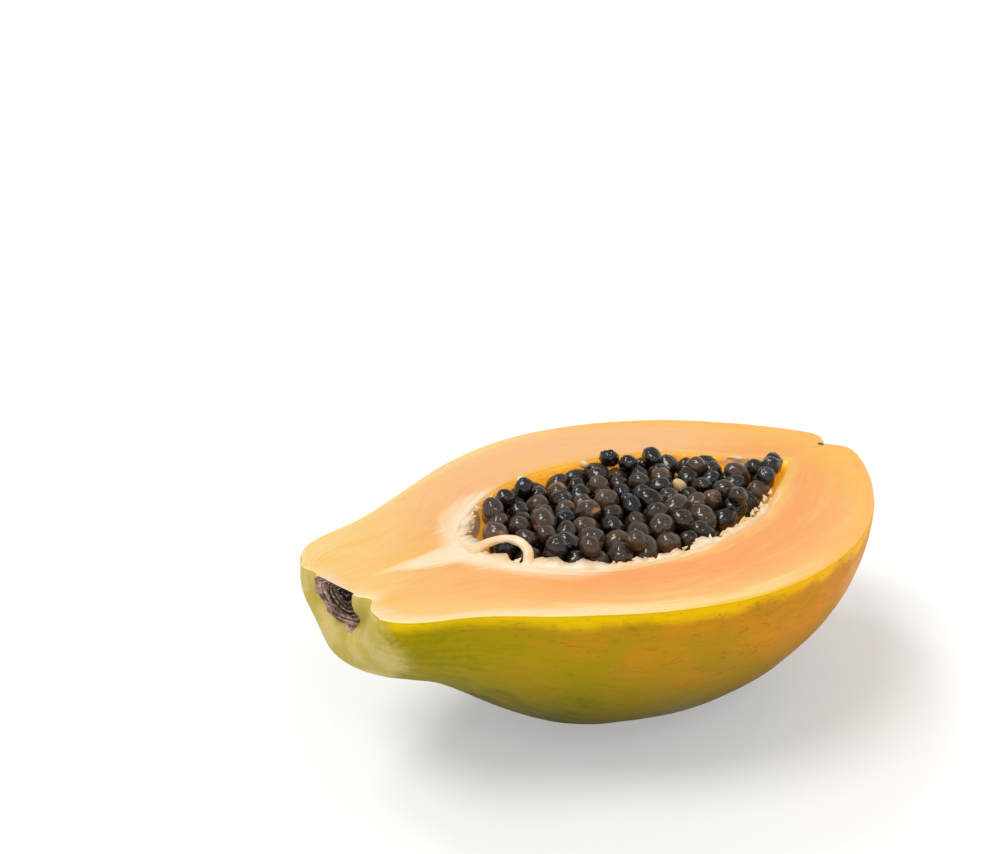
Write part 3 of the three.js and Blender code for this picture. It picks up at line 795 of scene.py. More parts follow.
wall_line = spaced(curve_through(HOLLOW_OUTLINE, WALL_DENSE), even_shares(WALL_POINTS))
wall_along = unit(wall_line[2:] - wall_line[:-2])
wall_inwards = np.vstack([[1, 0], np.stack([wall_along[:, 1], -wall_along[:, 0]], axis=-1), [-1, 0]])
strand_points = cord_curve(STRAND_ROUTE, STRAND_POINTS)


def hollow_half_width(x):
    return float(np.interp(x, wall_line[:, 0], wall_line[:, 1], 0, 0))


def heap_level(x, y):
    half_width = max(hollow_half_width(x), 1)
    return HEAP_TOP - HEAP_FALL * min((y / half_width) ** 2, 1)


def pulp_share(x, y):
    near = smooth_step(-y, 2, 12)
    stalk = 1 - smooth_step(x, 42, 54)
    return np.maximum(near, stalk) * (1 - smooth_step(x, 112, 128))


def keep_inside(at, radius):
    out = math.hypot(at[1], min(at[2], 0) / HOLLOW_RATIO)
    here = np.array([at[0], out])
    nearest = int(np.argmin(np.linalg.norm(wall_line - here, axis=1)))
    inwards = wall_inwards[nearest]
    room = float((here - wall_line[nearest]) @ inwards)
    lining = (PULP_THICKNESS + TUFT_REACH + GAP) * float(pulp_share(wall_line[nearest][0], at[1]))
    short = SEED_LENGTH * radius + 2 * GAP + lining - room
    if short > 0:
        share = max(out + short * inwards[1], 0) / max(out, 0.1)
        at[0] += short * inwards[0]
        at[1] *= share
        at[2] *= share if at[2] < 0 else 1


def keep_off_strand(at, radius):
    for point in strand_points:
        apart = at - point
        distance = np.linalg.norm(apart)
        overlap = SEED_LENGTH * radius + STRAND_RADIUS + GAP - distance
        if overlap > 0:
            at += apart / distance * overlap


def settle(seeds, drop=0.0):
    """Pushes seeds apart, then back to their level, inside the wall and off the strand."""
    for _ in range(SETTLE_PASSES):
        for i, a in enumerate(seeds):
            for b in seeds[i + 1 :]:
                apart = b["at"] - a["at"]
                reach = SEED_LENGTH * (a["radius"] + b["radius"])
                squared = float(apart @ apart)
                if squared < reach * reach:
                    distance = math.sqrt(squared)
                    push = apart / distance * ((reach - distance) / 2)
                    a["at"] -= push
                    b["at"] += push
        for seed in seeds:
            seed["at"][2] = heap_level(seed["at"][0], seed["at"][1]) + seed["lift"] - drop
            keep_inside(seed["at"], seed["radius"])
            if not drop:
                keep_off_strand(seed["at"], seed["radius"])
    return seeds


def seed_layer(start, drop=0.0):
    dice = make_dice(start)

    def between(reach):
        return reach * (2 * next(dice) - 1)

    row_step = SEED_PITCH * math.sqrt(0.75)
    rows = math.ceil(HOLLOW_HALF / row_step)
    seeds = []
    for grid_row in range(-rows, rows + 1):
        x = HOLLOW_START + (SEED_PITCH / 2 if grid_row % 2 else 0)
        while x < HOLLOW_END:
            at = np.array([x + between(SEED_SHAKE), grid_row * row_step + between(SEED_SHAKE), 0.0])
            lift = between(SEED_LIFT)
            radius = SEED_RADIUS * (1 + between(SEED_SPREAD / 2))
            turn, tilt = between(math.pi), between(SEED_TILT)
            if abs(at[1]) < hollow_half_width(at[0]) - radius / 2:
                seeds.append({"at": at, "lift": lift, "radius": radius, "turn": turn, "tilt": tilt})
            x += SEED_PITCH
    return settle(seeds, drop)


SUNK_AT, SUNK_REACH, SUNK_BY = (127.5, 7), 6.5, 3.4

upper_seeds = seed_layer(5)
for seed in upper_seeds:
    off = math.dist(seed["at"][:2], SUNK_AT)
    seed["at"][2] -= SUNK_BY * (1 - float(smooth_step(off, 0.6 * SUNK_REACH, SUNK_REACH)))
print("upper seeds:", len(upper_seeds))

# %% [markdown]
# A real heap isn't level. A few more seeds lie on it along the far side and at both ends, where it
# sinks. Each is let down on the others: pushed out of them, lowered a little, and so on until it
# rests.

# %% Seeds that rest on the heap
TOP_PLACES = [
    (95, 24.5, "bare"), (107.5, 16.5, "wet"), (116, 6.5, "wet"), (134.2, -6.4, "bare"),
    (64.5, 20.5, "bare"), (56.5, 17.5, "wet"), (49.5, 12.5, "wet"), (99, 17.5, "wet"),
    (60, -19, "wet"), (52, -12.5, "wet"), (71, -21.5, "wet"), (42, 5, "wet"),
    (110, -15.5, "wet"), (128, -8.4, "bare"), (91, 25.6, "pale"),
]
TOP_START, TOP_STEP, TOP_PASSES = 5.0, 0.12, 70
TOP_LIMIT = 4.1


def rest_on_heap(places, start):
    dice = make_dice(start)
    rested = []
    for x, y, kind in places:
        radius = SEED_RADIUS * (0.84 + 0.22 * next(dice)) * (0.8 if kind == "pale" else 1)
        seed = {"at": np.array([x, y, TOP_START]), "radius": radius, "kind": kind}
        seed.update(turn=math.pi * (2 * next(dice) - 1), tilt=SEED_TILT * (2 * next(dice) - 1))
        for _ in range(TOP_PASSES):
            seed["at"][2] -= TOP_STEP
            for other in upper_seeds + rested:
                apart = seed["at"] - other["at"]
                reach = radius + other["radius"]
                distance = max(float(np.linalg.norm(apart)), 0.1)
                if distance < reach:
                    seed["at"] += apart / distance * (reach - distance)
            keep_inside(seed["at"], radius)
        seed["at"][2] = min(seed["at"][2], TOP_LIMIT - radius)
        rested.append(seed)
    return rested


top_seeds = rest_on_heap(TOP_PLACES, 17)
print("seeds on the heap:", len(top_seeds), "highest", round(max(s["at"][2] for s in top_seeds), 1))

# %% Deeper seeds, shown only through the gaps
DEEPER = [(23, 4.6), (31, 8.6)]
deep_seeds = []
for start, drop in DEEPER:
    for seed in seed_layer(start, drop):
        depth_room = HOLLOW_RATIO * hollow_half_width(seed["at"][0]) + seed["at"][2]
        if depth_room > seed["radius"]:
            deep_seeds.append(seed)
print("deeper seeds:", len(deep_seeds))

# %% [markdown]
# ## Seed shapes
# A papaya seed is a rough black stone in a clear jelly skin. Most are smooth and nearly round, some
# are creased where the jelly has dried, a few have lost it and show their warts, and one or two
# never ripened and stayed pale. Each kind starts from an icosphere, pushed in and out by noise.

# %% Seed templates
DENT_WIDTH = 0.8


def ball(name, detail, moved):
    """An icosphere whose points are moved by a rule."""
    edit = bmesh.new()
    bmesh.ops.create_icosphere(edit, subdivisions=detail, radius=1.0)
    for vertex in edit.verts:
        vertex.co = moved(vertex.co.copy())
    mesh = bpy.data.meshes.new(name)
    edit.to_mesh(mesh)
    edit.free()
    smooth(mesh)
    return mesh


def seed_template(name, detail, length, dents=0.0, warts=0.0, wart_size=0.25, point=0.0, seed=0):
    shift = Vector((seed * 3.7, seed * 1.9, seed * 2.3))

    def moved(place):
        push = dents * noise.noise(place / DENT_WIDTH + shift)
        crease = 1 - abs(noise.noise(place / wart_size + shift))
        push += warts * (crease**3 - 0.4)
        tip = point * max(place.x, 0) ** 6
        place = place * (1 + push) + Vector((tip, 0, 0))
        place.x *= length
        return place

    return bpy.data.objects.new(name, ball(name, detail, moved))


def shape_set(name, templates):
    folder = bpy.data.collections.new(name)
    for template in templates:
        folder.objects.link(template)
    return folder


wet_shapes = shape_set("wet seed shapes", [
    seed_template("wet_a", 4, 1.14, dents=0.09, seed=1, warts=0.03, wart_size=0.62, point=0.05),
    seed_template("wet_b", 4, 1.02, dents=0.12, seed=2, warts=0.045, wart_size=0.5),
    seed_template("wet_c", 4, 1.26, dents=0.1, seed=3, warts=0.04, wart_size=0.7, point=0.08),
    seed_template("wet_d", 4, 1.12, dents=0.13, seed=4, warts=0.075, wart_size=0.44),
    seed_template("wet_e", 4, 1.3, dents=0.13, seed=9, warts=0.05, wart_size=0.75, point=0.1),
    seed_template("wet_f", 4, 1.08, dents=0.08, seed=10, warts=0.085, wart_size=0.38),
])
bare_shapes = shape_set("bare seed shapes", [
    seed_template("bare_a", 4, 1.2, dents=0.1, seed=5, warts=0.13, wart_size=0.3, point=0.1),
    seed_template("bare_b", 4, 1.15, dents=0.12, seed=6, warts=0.15, wart_size=0.34, point=0.12),
])
pale_shapes = shape_set("pale seed shapes", [
    seed_template("pale_a", 3, 1.3, dents=0.12, seed=7, point=0.1),
])
deep_shapes = shape_set("deep seed shapes", [seed_template("deep_a", 2, 1.1, dents=0.05, seed=8)])

# %% [markdown]
# Geometry Nodes put one template on each place. The places are a mesh of loose points that carry
# size, turn, shape number and tone. After the instances are made real, the tone is still there, one
# value for each seed, so the material can colour each seed a little differently.

# %% The node tree that sets out seeds
GEOMETRY, MATERIAL = "NodeSocketGeometry", "NodeSocketMaterial"


def new_geometry_tree(name, inputs):
    inputs = [("Geometry", GEOMETRY, None), *inputs, ("Finish", MATERIAL, None)]
    return new_tree(name, "GeometryNodeTree", inputs, ("Geometry", GEOMETRY))


def end_tree(wires, geometry, inside, outside):
    """Makes instances real, gives them their material and ends the tree."""
    real = wires.add("GeometryNodeRealizeInstances", {"Geometry": geometry}).outputs[0]
    painted = wires.add("GeometryNodeSetMaterial", {"Geometry": real, "Material": inside["Finish"]})
    wires.put(outside["Geometry"], painted.outputs[0])
    return wires.tree


def named(wires, name, kind):
    node = wires.add("GeometryNodeInputNamedAttribute", data_type=kind)
    node.inputs["Name"].default_value = name
    return node.outputs["Attribute"]


def set_out_tree():
    wires, inside, outside = new_geometry_tree("Set out seeds", [
        ("Shapes", "NodeSocketCollection", None), ("Size", FLOAT, 1.0),
    ])
    shapes = wires.add("GeometryNodeCollectionInfo", {
        "Collection": inside["Shapes"], "Separate Children": True, "Reset Children": True,
    })
    turn = wires.add("FunctionNodeEulerToRotation", {"Euler": named(wires, "turn", "FLOAT_VECTOR")})
    placed = wires.add("GeometryNodeInstanceOnPoints", {
        "Points": inside["Geometry"], "Instance": shapes.outputs[0], "Pick Instance": True,
        "Instance Index": named(wires, "shape", "INT"), "Rotation": turn.outputs[0],
        "Scale": wires.times(named(wires, "size", "FLOAT"), inside["Size"]),
    })
    return end_tree(wires, placed.outputs[0], inside, outside)


def grow(name, start, tree, values):
    """Runs a tree on a start object and keeps the result as a plain mesh."""
    modifier = start.modifiers.new("grow", "NODES")
    modifier.node_group = tree
    for item in tree.interface.items_tree:
        if item.in_out == "INPUT" and item.name in values:
            modifier[item.identifier] = values[item.name]
    graph = bpy.context.evaluated_depsgraph_get()
    mesh = bpy.data.meshes.new_from_object(start.evaluated_get(graph), depsgraph=graph)
    mesh.name = name
    start.modifiers.remove(modifier)
    bpy.data.objects.remove(start)
    smooth(mesh)
    print(name, len(mesh.polygons), "faces")
    return show(name, mesh)


set_out = set_out_tree()

# %% [markdown]
# ## Seed finishes
# The jelly is a clear coat over the stone. The coat is smooth and follows the creases of the shape,
# which break the shine into several small lights on each seed. The stone below shows through in
# warm brown, rougher, with folds of its own, and darker on some seeds than on others.

# %% Jelly seeds, bare seeds and pale seeds
def seed_finish(name, dark, light, tip, coat, gloss, relief):
    finish, stone, shader, place = new_finish(name)
    tone = stone.attribute("tone", "Fac")
    veins = stone.noise(place, 900.0, 4.0, 0.6, 0.6)
    share = stone.plus(stone.times(tone, 0.5), stone.times(veins, 0.75))
    colour = stone.ramp(share, [(0.44, dark), (1.0, light)])
    clouds = stone.noise(place, 260.0, 2.0)
    colour = stone.paint(colour, tip, stone.step(clouds, 0.62, 0.74), stone.step(tone, 0.55, 0.75))
    patches = stone.use(wetness, {"Patch Size": 0.0016, "Wet": gloss, "Dry": gloss + 0.2, "Place": place})
    rough = stone.use(grain, {"Grain Size": 0.0013, "Detail": 2.0, "Place": place})
    folds = stone.calc("ABSOLUTE", stone.minus(stone.noise(place, 620.0, 1.0, 0.5, 1.6), 0.5))
    height = stone.plus(stone.times(rough, 0.7), stone.step(folds, 0.0, 0.12, -0.16, 0.0))
    set_shader(
        stone, shader, height, relief,
        Base_Color=colour, Roughness=patches, Specular_IOR_Level=0.15,
        Coat_Weight=coat, Coat_Roughness=0.1, Coat_IOR=1.6,
    )
    return finish


jelly_finish = seed_finish(
    "Jelly over black seed", dark=(0.003, 0.0015, 0.001), light=(0.1, 0.054, 0.026), tip=(0.4, 0.15, 0.05),
    coat=0.8, gloss=0.2, relief=0.0003,
)
bare_finish = seed_finish(
    "Bare black seed", dark=(0.003, 0.002, 0.002), light=(0.02, 0.012, 0.01), tip=(0.05, 0.03, 0.02),
    coat=0.7, gloss=0.16, relief=0.0004,
)
pale_finish = seed_finish(
    "Unripe pale seed", dark=(0.72, 0.5, 0.24), light=(0.92, 0.8, 0.58), tip=(0.75, 0.4, 0.12),
    coat=0.4, gloss=0.25, relief=0.0001,
)
tan_finish = seed_finish(
    "Seed in tan jelly", dark=(0.12, 0.045, 0.015), light=(0.62, 0.3, 0.12), tip=(0.8, 0.36, 0.12),
    coat=0.8, gloss=0.2, relief=0.0003,
)

# %% Choose a kind for each seed and set them out
BARE_PLACES = [(134, -3), (63, 2.5), (100, 14), (72, -10), (120, 12), (84, 6)]
PALE_PLACES = [(103.5, 2)]
TAN_PLACES = [(40, 3.5), (46, 14)]


def nearest_seed(x, y):
    distances = [np.hypot(seed["at"][0] - x, seed["at"][1] - y) for seed in upper_seeds]
    return int(np.argmin(distances))


kinds = {index: "wet" for index in range(len(upper_seeds))}
kinds.update({nearest_seed(*place): "bare" for place in BARE_PLACES})
kinds.update({nearest_seed(*place): "pale" for place in PALE_PLACES})
kinds.update({nearest_seed(*place): "tan" for place in TAN_PLACES})


def seed_piece(name, seeds, shapes, finish, size, start):
    dice = make_dice(start)
    places = [seed["at"] + [0, drift(seed["at"][0]), 0] for seed in seeds]
    points = new_piece(name + "_places", np.array(places), [])
    shape_count = len(shapes.objects)
    store(points, "size", [seed["radius"] * MM for seed in seeds])
    turns = [(2 * math.pi * next(dice), seed["tilt"], seed["turn"]) for seed in seeds]
    store(points, "turn", turns, "FLOAT_VECTOR")
    store(points, "tone", [next(dice) for _ in seeds])
    store(points, "shape", [int(next(dice) * shape_count) for _ in seeds], "INT")
    return grow(name, points, set_out, {"Shapes": shapes, "Size": size, "Finish": finish})


def of_kind(kind):
    lying = [seed for index, seed in enumerate(upper_seeds) if kinds[index] == kind]
    return lying + [seed for seed in top_seeds if seed["kind"] == kind]


wet_seeds = seed_piece("wet_seeds", of_kind("wet"), wet_shapes, jelly_finish, 1.0, 41)
bare_seeds = seed_piece("bare_seeds", of_kind("bare"), bare_shapes, bare_finish, 0.92, 43)
pale_seeds = seed_piece("pale_seeds", of_kind("pale"), pale_shapes, pale_finish, 0.6, 47)
tan_seeds = seed_piece("tan_seeds", of_kind("tan"), wet_shapes, tan_finish, 0.95, 49)
deep_piece = seed_piece("deep_seeds", deep_seeds, deep_shapes, bare_finish, 1.0, 53)
for shapes in (wet_shapes, bare_shapes, pale_shapes, deep_shapes):
    for template in list(shapes.objects):
        bpy.data.objects.remove(template)
    bpy.data.collections.remove(shapes)

# %% [markdown]
# ## Packed bed
# Under the deepest seeds shown there are only more seeds and juice. A dark closed bed with a bumpy
# top fills that space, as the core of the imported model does.

# %% The bed below the seeds
BED_DROP = 9.5
BED_CLEARANCE = 1.2
BED_BUMP, BUMP_SIZE = 1.1, 3.2
BED_RINGS, BED_SIDES = 120, 40
bed_line = spaced(curve_through(HOLLOW_OUTLINE), even_shares(BED_RINGS))
bed_line = bed_line[bed_line[:, 1] * HOLLOW_RATIO > BED_DROP + HEAP_FALL + 2 * BED_BUMP]
bed_x, bed_r = bed_line[:, :1], bed_line[:, 1:] - BED_CLEARANCE
bed_across = 2 * even_shares(BED_SIDES)[None] - 1
edge_turn = np.arcsin((BED_DROP + HEAP_FALL - HEAP_TOP) / (bed_r * HOLLOW_RATIO))
bed_turns = edge_turn + (np.pi - 2 * edge_turn) * even_shares(BED_SIDES)[None]
bed_wall = place_wall(bed_x, bed_r, bed_turns)
bed_top = bed_wall[:, :1] + (bed_wall[:, -1:] - bed_wall[:, :1]) * (1 + bed_across[..., None]) / 2
bed_top[..., 2] += (HEAP_FALL + BED_BUMP * noise_at(bed_top, BUMP_SIZE, 6)) * (1 - bed_across**2)
bed_loops = np.concatenate([bed_wall, bed_top[:, -2:0:-1]], axis=1)
bed_count, bed_points = bed_loops.shape[:2]
bed_ends = [list(range(bed_points)), list(range((bed_count - 1) * bed_points, bed_count * bed_points))]
bed_faces = loop_faces(bed_count, bed_points).tolist() + bed_ends
bed = new_piece("packed_bed", bed_loops.reshape(-1, 3), bed_faces)
store(bed, "tone", np.zeros(len(bed.data.vertices)))
close_up(bed, 1e-6)
bed.data.materials.append(bare_finish)

# %% [markdown]
# ## Pulp
# Pale pulp lines the near side and the stalk end of the hollow. It is a second skin just inside
# the wall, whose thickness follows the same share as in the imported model. Where there is none, it
# sinks behind the wall. Its edge was torn by the knife, so noise pulls the rim into teeth.

# %% Lining of the hollow
LINING_RINGS, LINING_SIDES = 420, 64
LINING_TOP, LINING_BARE = 0.25, -1.2
LINING_BACK = 1.6
TOOTH_SIZE, TOOTH_REACH = 1.9, 1.2
FLUFFS = [(70, 3, 4, 12), (131, 3, 1, 7)]
CLUMP_AT, CLUMP_REACH = 86.5, 3.4

lining_line = spaced(curve_through(HOLLOW_OUTLINE), even_shares(LINING_RINGS))
lining_along = unit(np.gradient(lining_line, axis=0))
lining_inwards = np.stack([lining_along[:, 1], -lining_along[:, 0]], axis=-1)
half = np.linspace(0, 1, LINING_SIDES // 2 + 1) ** 1.7 * np.pi / 2
lining_angles = np.concatenate([half, np.pi - half[-2::-1]])[None]
lining_y = lining_line[:, 1:] * np.cos(lining_angles)
lining_share = pulp_share(lining_line[:, :1], lining_y)
fluff = sum(
    np.exp(-(((lining_line[:, :1] - at) / reach) ** 2)) * smooth_step(lining_y, low, high)
    for at, reach, low, high in FLUFFS
)
lining_share = np.maximum(lining_share, fluff)
lining_wall = place_wall(lining_line[:, :1], lining_line[:, 1:], lining_angles)
lining_depth = -lining_wall[..., 2]
band = 1 - smooth_step(lining_depth, 4, 9)
teeth = noise_at(lining_wall, TOOTH_SIZE, 9)
tall_wall = lining_wall * [1, 1, 0.3]
clumps = noise_at(lining_wall, TOOTH_SIZE * 2.6, 12) + 0.8 * noise_at(tall_wall, TOOTH_SIZE * 7, 14)
stalk_pulp = 1 - smooth_step(lining_line[:, :1], 50, 72)
clump = np.exp(-(((lining_line[:, :1] - CLUMP_AT) / CLUMP_REACH) ** 2)) * smooth_step(-lining_y, 4, 12)
thin_rim = 0.1 + 0.6 * stalk_pulp + 0.9 * clump + 0.3 * fluff
fullness = np.clip(thin_rim + 0.75 * clumps, 0.05, 1.5)
ragged = TOOTH_REACH * teeth * (0.45 + 0.75 * np.exp(-lining_depth / 2.5))
thickness = lining_share * band * (PULP_THICKNESS * fullness + ragged) - 0.35 * (1 - lining_share * band)


def moved_wall(distance):
    x = lining_line[:, :1] + lining_inwards[:, :1] * distance
    r = np.maximum(lining_line[:, 1:] + lining_inwards[:, 1:] * distance, 0.02)
    r[0] = r[-1] = 0.02
    return place_wall(x, r, np.broadcast_to(lining_angles, x.shape))


front, back = moved_wall(thickness), moved_wall(-LINING_BACK + 0 * thickness)
lift = LINING_BARE + (LINING_TOP - LINING_BARE) * lining_share
lift += lining_share * (0.5 * teeth + 0.35 * clumps)
front[..., 2] += lift * np.exp(-lining_depth / 1.6)
back[..., 2] += (LINING_BARE - (LINING_BARE + 0.02) * lining_share) * np.exp(-lining_depth / 1.6)
for face in (front, back):
    face[[0, -1]] = face[[0, -1]].mean(axis=1, keepdims=True)
lining_loops = np.concatenate([front, back[:, ::-1]], axis=1)
lining = new_piece("pulp_lining", lining_loops.reshape(-1, 3), loop_faces(*lining_loops.shape[:2]))
close_up(lining, 1e-6)

# %% Pulp finish
PULP_CREAMS = [(0.3, (0.85, 0.53, 0.27)), (0.5, (0.88, 0.65, 0.42)), (0.66, (0.9, 0.77, 0.6))]
PULP_THREAD = (0.9, 0.54, 0.2)
PULP_PAINTED_GLOW = 0.1

pulp_finish, pulp, shader, place = new_finish("Torn pale pulp")
pulp_fibres = pulp.use(fibres, {"Length": 2.4, "Width": 0.6, "Seed": 2.0, "Flow": on_fruit(pulp, place)[0]})
colour = pulp.ramp(pulp.noise(place, 220.0, 3.0), PULP_CREAMS)
colour = pulp.paint(colour, PULP_THREAD, pulp.step(pulp_fibres, 0.35, 0.6, 0.3, 0.0))
pulp_gloss = pulp.use(wetness, {"Patch Size": 0.0025, "Wet": 0.28, "Dry": 0.55, "Place": place})
# Painted light: the pulp glows faintly in its own colour, which stands in for light through it and lifts it
# where it lies in shade.
set_shader(
    pulp, shader, pulp_fibres, 0.0004, 0.8,
    Base_Color=colour, Roughness=pulp_gloss, Specular_IOR_Level=0.4,
    Emission_Color=colour, Emission_Strength=PULP_PAINTED_GLOW,
    Subsurface_Weight=0.35, Subsurface_Radius=(1.0, 0.6, 0.3), Subsurface_Scale=0.002,
)
lining.data.materials.append(pulp_finish)

# %% [markdown]
# Torn shreds stand along the rim. They repeat and follow a path, so Geometry Nodes place them: a
# line of points along the rim, a small bent blade on each, turned and scaled by random values with
# a fixed seed.

# %% Shreds along the rim
SHRED_COUNT, SHRED_LENGTH, SHRED_SEED = 70, 1.8, 4
RIM_FAR_FROM, RIM_NEAR_TO, RIM_INSIDE, RIM_LOW = 56, 124, 1.2, 0.4
SHRED_RINGS, SHRED_SIDES = 7, 6
SHRED_RADIUS, SHRED_TIP, SHRED_BEND, SHRED_FLAT = 0.42, 0.02, 0.35, 0.55
SHIFT_LOW, SHIFT_HIGH = (-0.0008, -0.0008, -0.0009), (0.0008, 0.0008, 0.0002)
TURN_LOW, TURN_HIGH = (-1.15, -1.15, 0.0), (1.15, 1.15, 2 * math.pi)
SIZE_LOW, SIZE_HIGH = 0.45, 1.15


def shred_template():
    """A short tapered blade, bent over at its tip."""
    vertices = []
    for ring in range(SHRED_RINGS):
        way = ring / (SHRED_RINGS - 1)
        radius = SHRED_RADIUS * (1 - way**1.6) + SHRED_TIP
        for side in range(SHRED_SIDES):
            turn = 2 * math.pi * side / SHRED_SIDES
            width = radius * (1 + 0.25 * noise.noise(Vector((way * 5, side * 1.3, 2))))
            across = width * math.cos(turn) + SHRED_BEND * way * way
            vertices.append((across, SHRED_FLAT * width * math.sin(turn), way))
    foot = list(range(SHRED_SIDES))[::-1]
    tip = list(range((SHRED_RINGS - 1) * SHRED_SIDES, SHRED_RINGS * SHRED_SIDES))
    mesh = bpy.data.meshes.new("shred")
    mesh.from_pydata(vertices, [], loop_faces(SHRED_RINGS, SHRED_SIDES).tolist() + [foot, tip])
    smooth(mesh)
    return bpy.data.objects.new("shred", mesh)


def random_of(wires, low, high, seed):
    """One random value for each point, or three at once."""
    if isinstance(low, tuple):
        inputs, kind, output = {0: low, 1: high, "Seed": seed}, "FLOAT_VECTOR", 0
    else:
        inputs, kind, output = {2: low, 3: high, "Seed": seed}, "FLOAT", 1
    return wires.add("FunctionNodeRandomValue", inputs, data_type=kind).outputs[output]


def rim_shreds_tree():
    wires, inside, outside = new_geometry_tree("Shreds along a rim", [
        ("Shred", "NodeSocketObject", None), ("Count", "NodeSocketInt", 100), ("Length", FLOAT, 0.002),
        ("Seed", "NodeSocketInt", 1),
    ])
    seed = inside["Seed"]
    curve = wires.add("GeometryNodeMeshToCurve", {"Mesh": inside["Geometry"]}).outputs[0]
    spacing = {"Curve": curve, "Count": inside["Count"]}
    points = wires.add("GeometryNodeCurveToPoints", spacing, mode="COUNT")
    moved = wires.add("GeometryNodeSetPosition", {
        "Geometry": points.outputs[0], "Offset": random_of(wires, SHIFT_LOW, SHIFT_HIGH, seed),
    })
    shred = wires.add("GeometryNodeObjectInfo", {"Object": inside["Shred"]})
    turn = wires.add("FunctionNodeEulerToRotation", {"Euler": random_of(wires, TURN_LOW, TURN_HIGH, seed)})
    placed = wires.add("GeometryNodeInstanceOnPoints", {
        "Points": moved.outputs[0], "Instance": shred.outputs["Geometry"], "Rotation": turn.outputs[0],
        "Scale": wires.times(random_of(wires, SIZE_LOW, SIZE_HIGH, seed), inside["Length"]),
    })
    return end_tree(wires, placed.outputs[0], inside, outside)


def rim_route():
    """The rim of the hollow from the far side round the stalk end to the near side."""
    far = [i for i in range(LINING_RINGS, 0, -1) if lining_line[i, 0] < RIM_FAR_FROM]
    near = [i for i in range(LINING_RINGS) if lining_line[i, 0] < RIM_NEAR_TO]
    route = []
    for side, indices in ((1, far), (-1, near)):
        for i in indices[::3]:
            x = lining_line[i, 0] + lining_inwards[i, 0] * RIM_INSIDE
            y = max(lining_line[i, 1] + lining_inwards[i, 1] * RIM_INSIDE, 0) * side
            route.append((x, y + drift(x), -RIM_LOW))
    return route


def line_piece(name, points):
    line = new_piece(name, np.array(points), [])
    edit = bmesh.new()
    edit.from_mesh(line.data)
    edit.verts.ensure_lookup_table()
    for index in range(len(points) - 1):
        edit.edges.new((edit.verts[index], edit.verts[index + 1]))
    edit.to_mesh(line.data)
    edit.free()
    return line


shred = shred_template()
rim_line = line_piece("rim_line", rim_route())
shreds = grow("pulp_shreds", rim_line, rim_shreds_tree(), {
    "Shred": shred, "Count": SHRED_COUNT, "Length": SHRED_LENGTH * MM, "Seed": SHRED_SEED,
    "Finish": pulp_finish,
})
bpy.data.objects.remove(shred)

# %% [markdown]
# One strand of pulp came loose and loops over the seeds. It follows a path, so Geometry Nodes sweep
# a circle along the route, thicker at its ends, and then move its surface a little by noise.

# %% The loose strand
STRAND_LIES = [
    [34.6, -1.6, -1.4], [37.6, -2.2, 0.9], [41, -2.8, 1.8], [44, -4, 2], [46, -6.6, 1.7], [46.2, -9.4, 0.9],
    [44.8, -12.2, 0], [42.8, -14.6, -1.6],
]
STRAND_THICK = 1.35
STRAND_UNEVEN = 0.49
STRAND_WAIST = [(0.2, 0.85), (0.45, 0.8), (0.7, 0.95)]


def strand_tree():
    wires, inside, outside = new_geometry_tree("Strand along a route", [
        ("Radius", FLOAT, 0.0014), ("Unevenness", FLOAT, 0.0003),
    ])
    curve = wires.add("GeometryNodeMeshToCurve", {"Mesh": inside["Geometry"]}).outputs[0]
    even = wires.add("GeometryNodeResampleCurve", {"Count": 120, "Curve": curve}).outputs[0]
    circle = wires.add("GeometryNodeCurvePrimitiveCircle", {"Resolution": 28, "Radius": inside["Radius"]})
    spline_way = wires.add("GeometryNodeSplineParameter").outputs["Factor"]
    waist = wires.add("ShaderNodeFloatCurve", {"Value": spline_way})
    points = waist.mapping.curves[0].points
    points[0].location, points[1].location = (0.0, 1.0), (1.0, 1.0)
    for way, radius in STRAND_WAIST:
        points.new(way, radius)
    radii = wires.add("GeometryNodeSetCurveRadius", {"Curve": even, "Radius": waist.outputs[0]}).outputs[0]
    body = wires.add("GeometryNodeCurveToMesh", {
        "Curve": radii, "Profile Curve": circle.outputs[0], "Fill Caps": True,
    })
    if "Scale" in body.inputs:
        wires.put(body.inputs["Scale"], waist.outputs[0])
    bumps = wires.add("ShaderNodeTexNoise", {"Scale": 420.0, "Detail": 3.0}).outputs["Fac"]
    height = wires.times(wires.minus(bumps, 0.55), inside["Unevenness"])
    normal = wires.add("GeometryNodeInputNormal").outputs[0]
    push = wires.add("ShaderNodeVectorMath", {0: normal, "Scale": height}, operation="SCALE").outputs[0]
    uneven = wires.add("GeometryNodeSetPosition", {"Geometry": body.outputs[0], "Offset": push})
    return end_tree(wires, uneven.outputs[0], inside, outside)


strand_line = line_piece("strand_line", cord_curve(STRAND_LIES, 60))
strand = grow("loose_strand", strand_line, strand_tree(), {
    "Radius": STRAND_THICK * MM, "Unevenness": STRAND_UNEVEN * MM, "Finish": pulp_finish,
})
close_up(strand, 1e-7)

# %% [markdown]
# ## Stalk scar
# Where the stalk broke off, cork healed over it in rings round a dark hollow. The knife left half
# of it, and the near shoulder hides most of the rest. It is a thin crust on the slanting end face,
# with rings in its profile and noise that is longer along the rings than across them.

# %% The corky rings
SCAR_RINGS, SCAR_SIDES = 90, 150
SCAR_MIDDLE = -3.0
SCAR_RADIUS = 10.5
SCAR_NEAR_SHARE = 0.13
SCAR_RELIEF = [
    [0.1, 0], [0.2, 0.14], [0.6, 0.27], [0.4, 0.38], [0.75, 0.5], [0.45, 0.58], [0.9, 0.68], [0.5, 0.75],
    [1.0, 0.83], [0.55, 0.89], [0.85, 0.95], [0.15, 1.0],
]
SCAR_CRUST = 0.5


def on_end_face(y, z):
    """The x of the neck's slanting end at a place across and below."""
    across, below = y - STALK_SHIFT, -z
    r, angle = np.hypot(across, below), np.arctan2(below, across)
    x = np.interp(r, profile[: RINGS // 6, 1], profile[: RINGS // 6, 0])
    return place_skin(x, r, angle)[..., 0] + shoulders(r, angle)


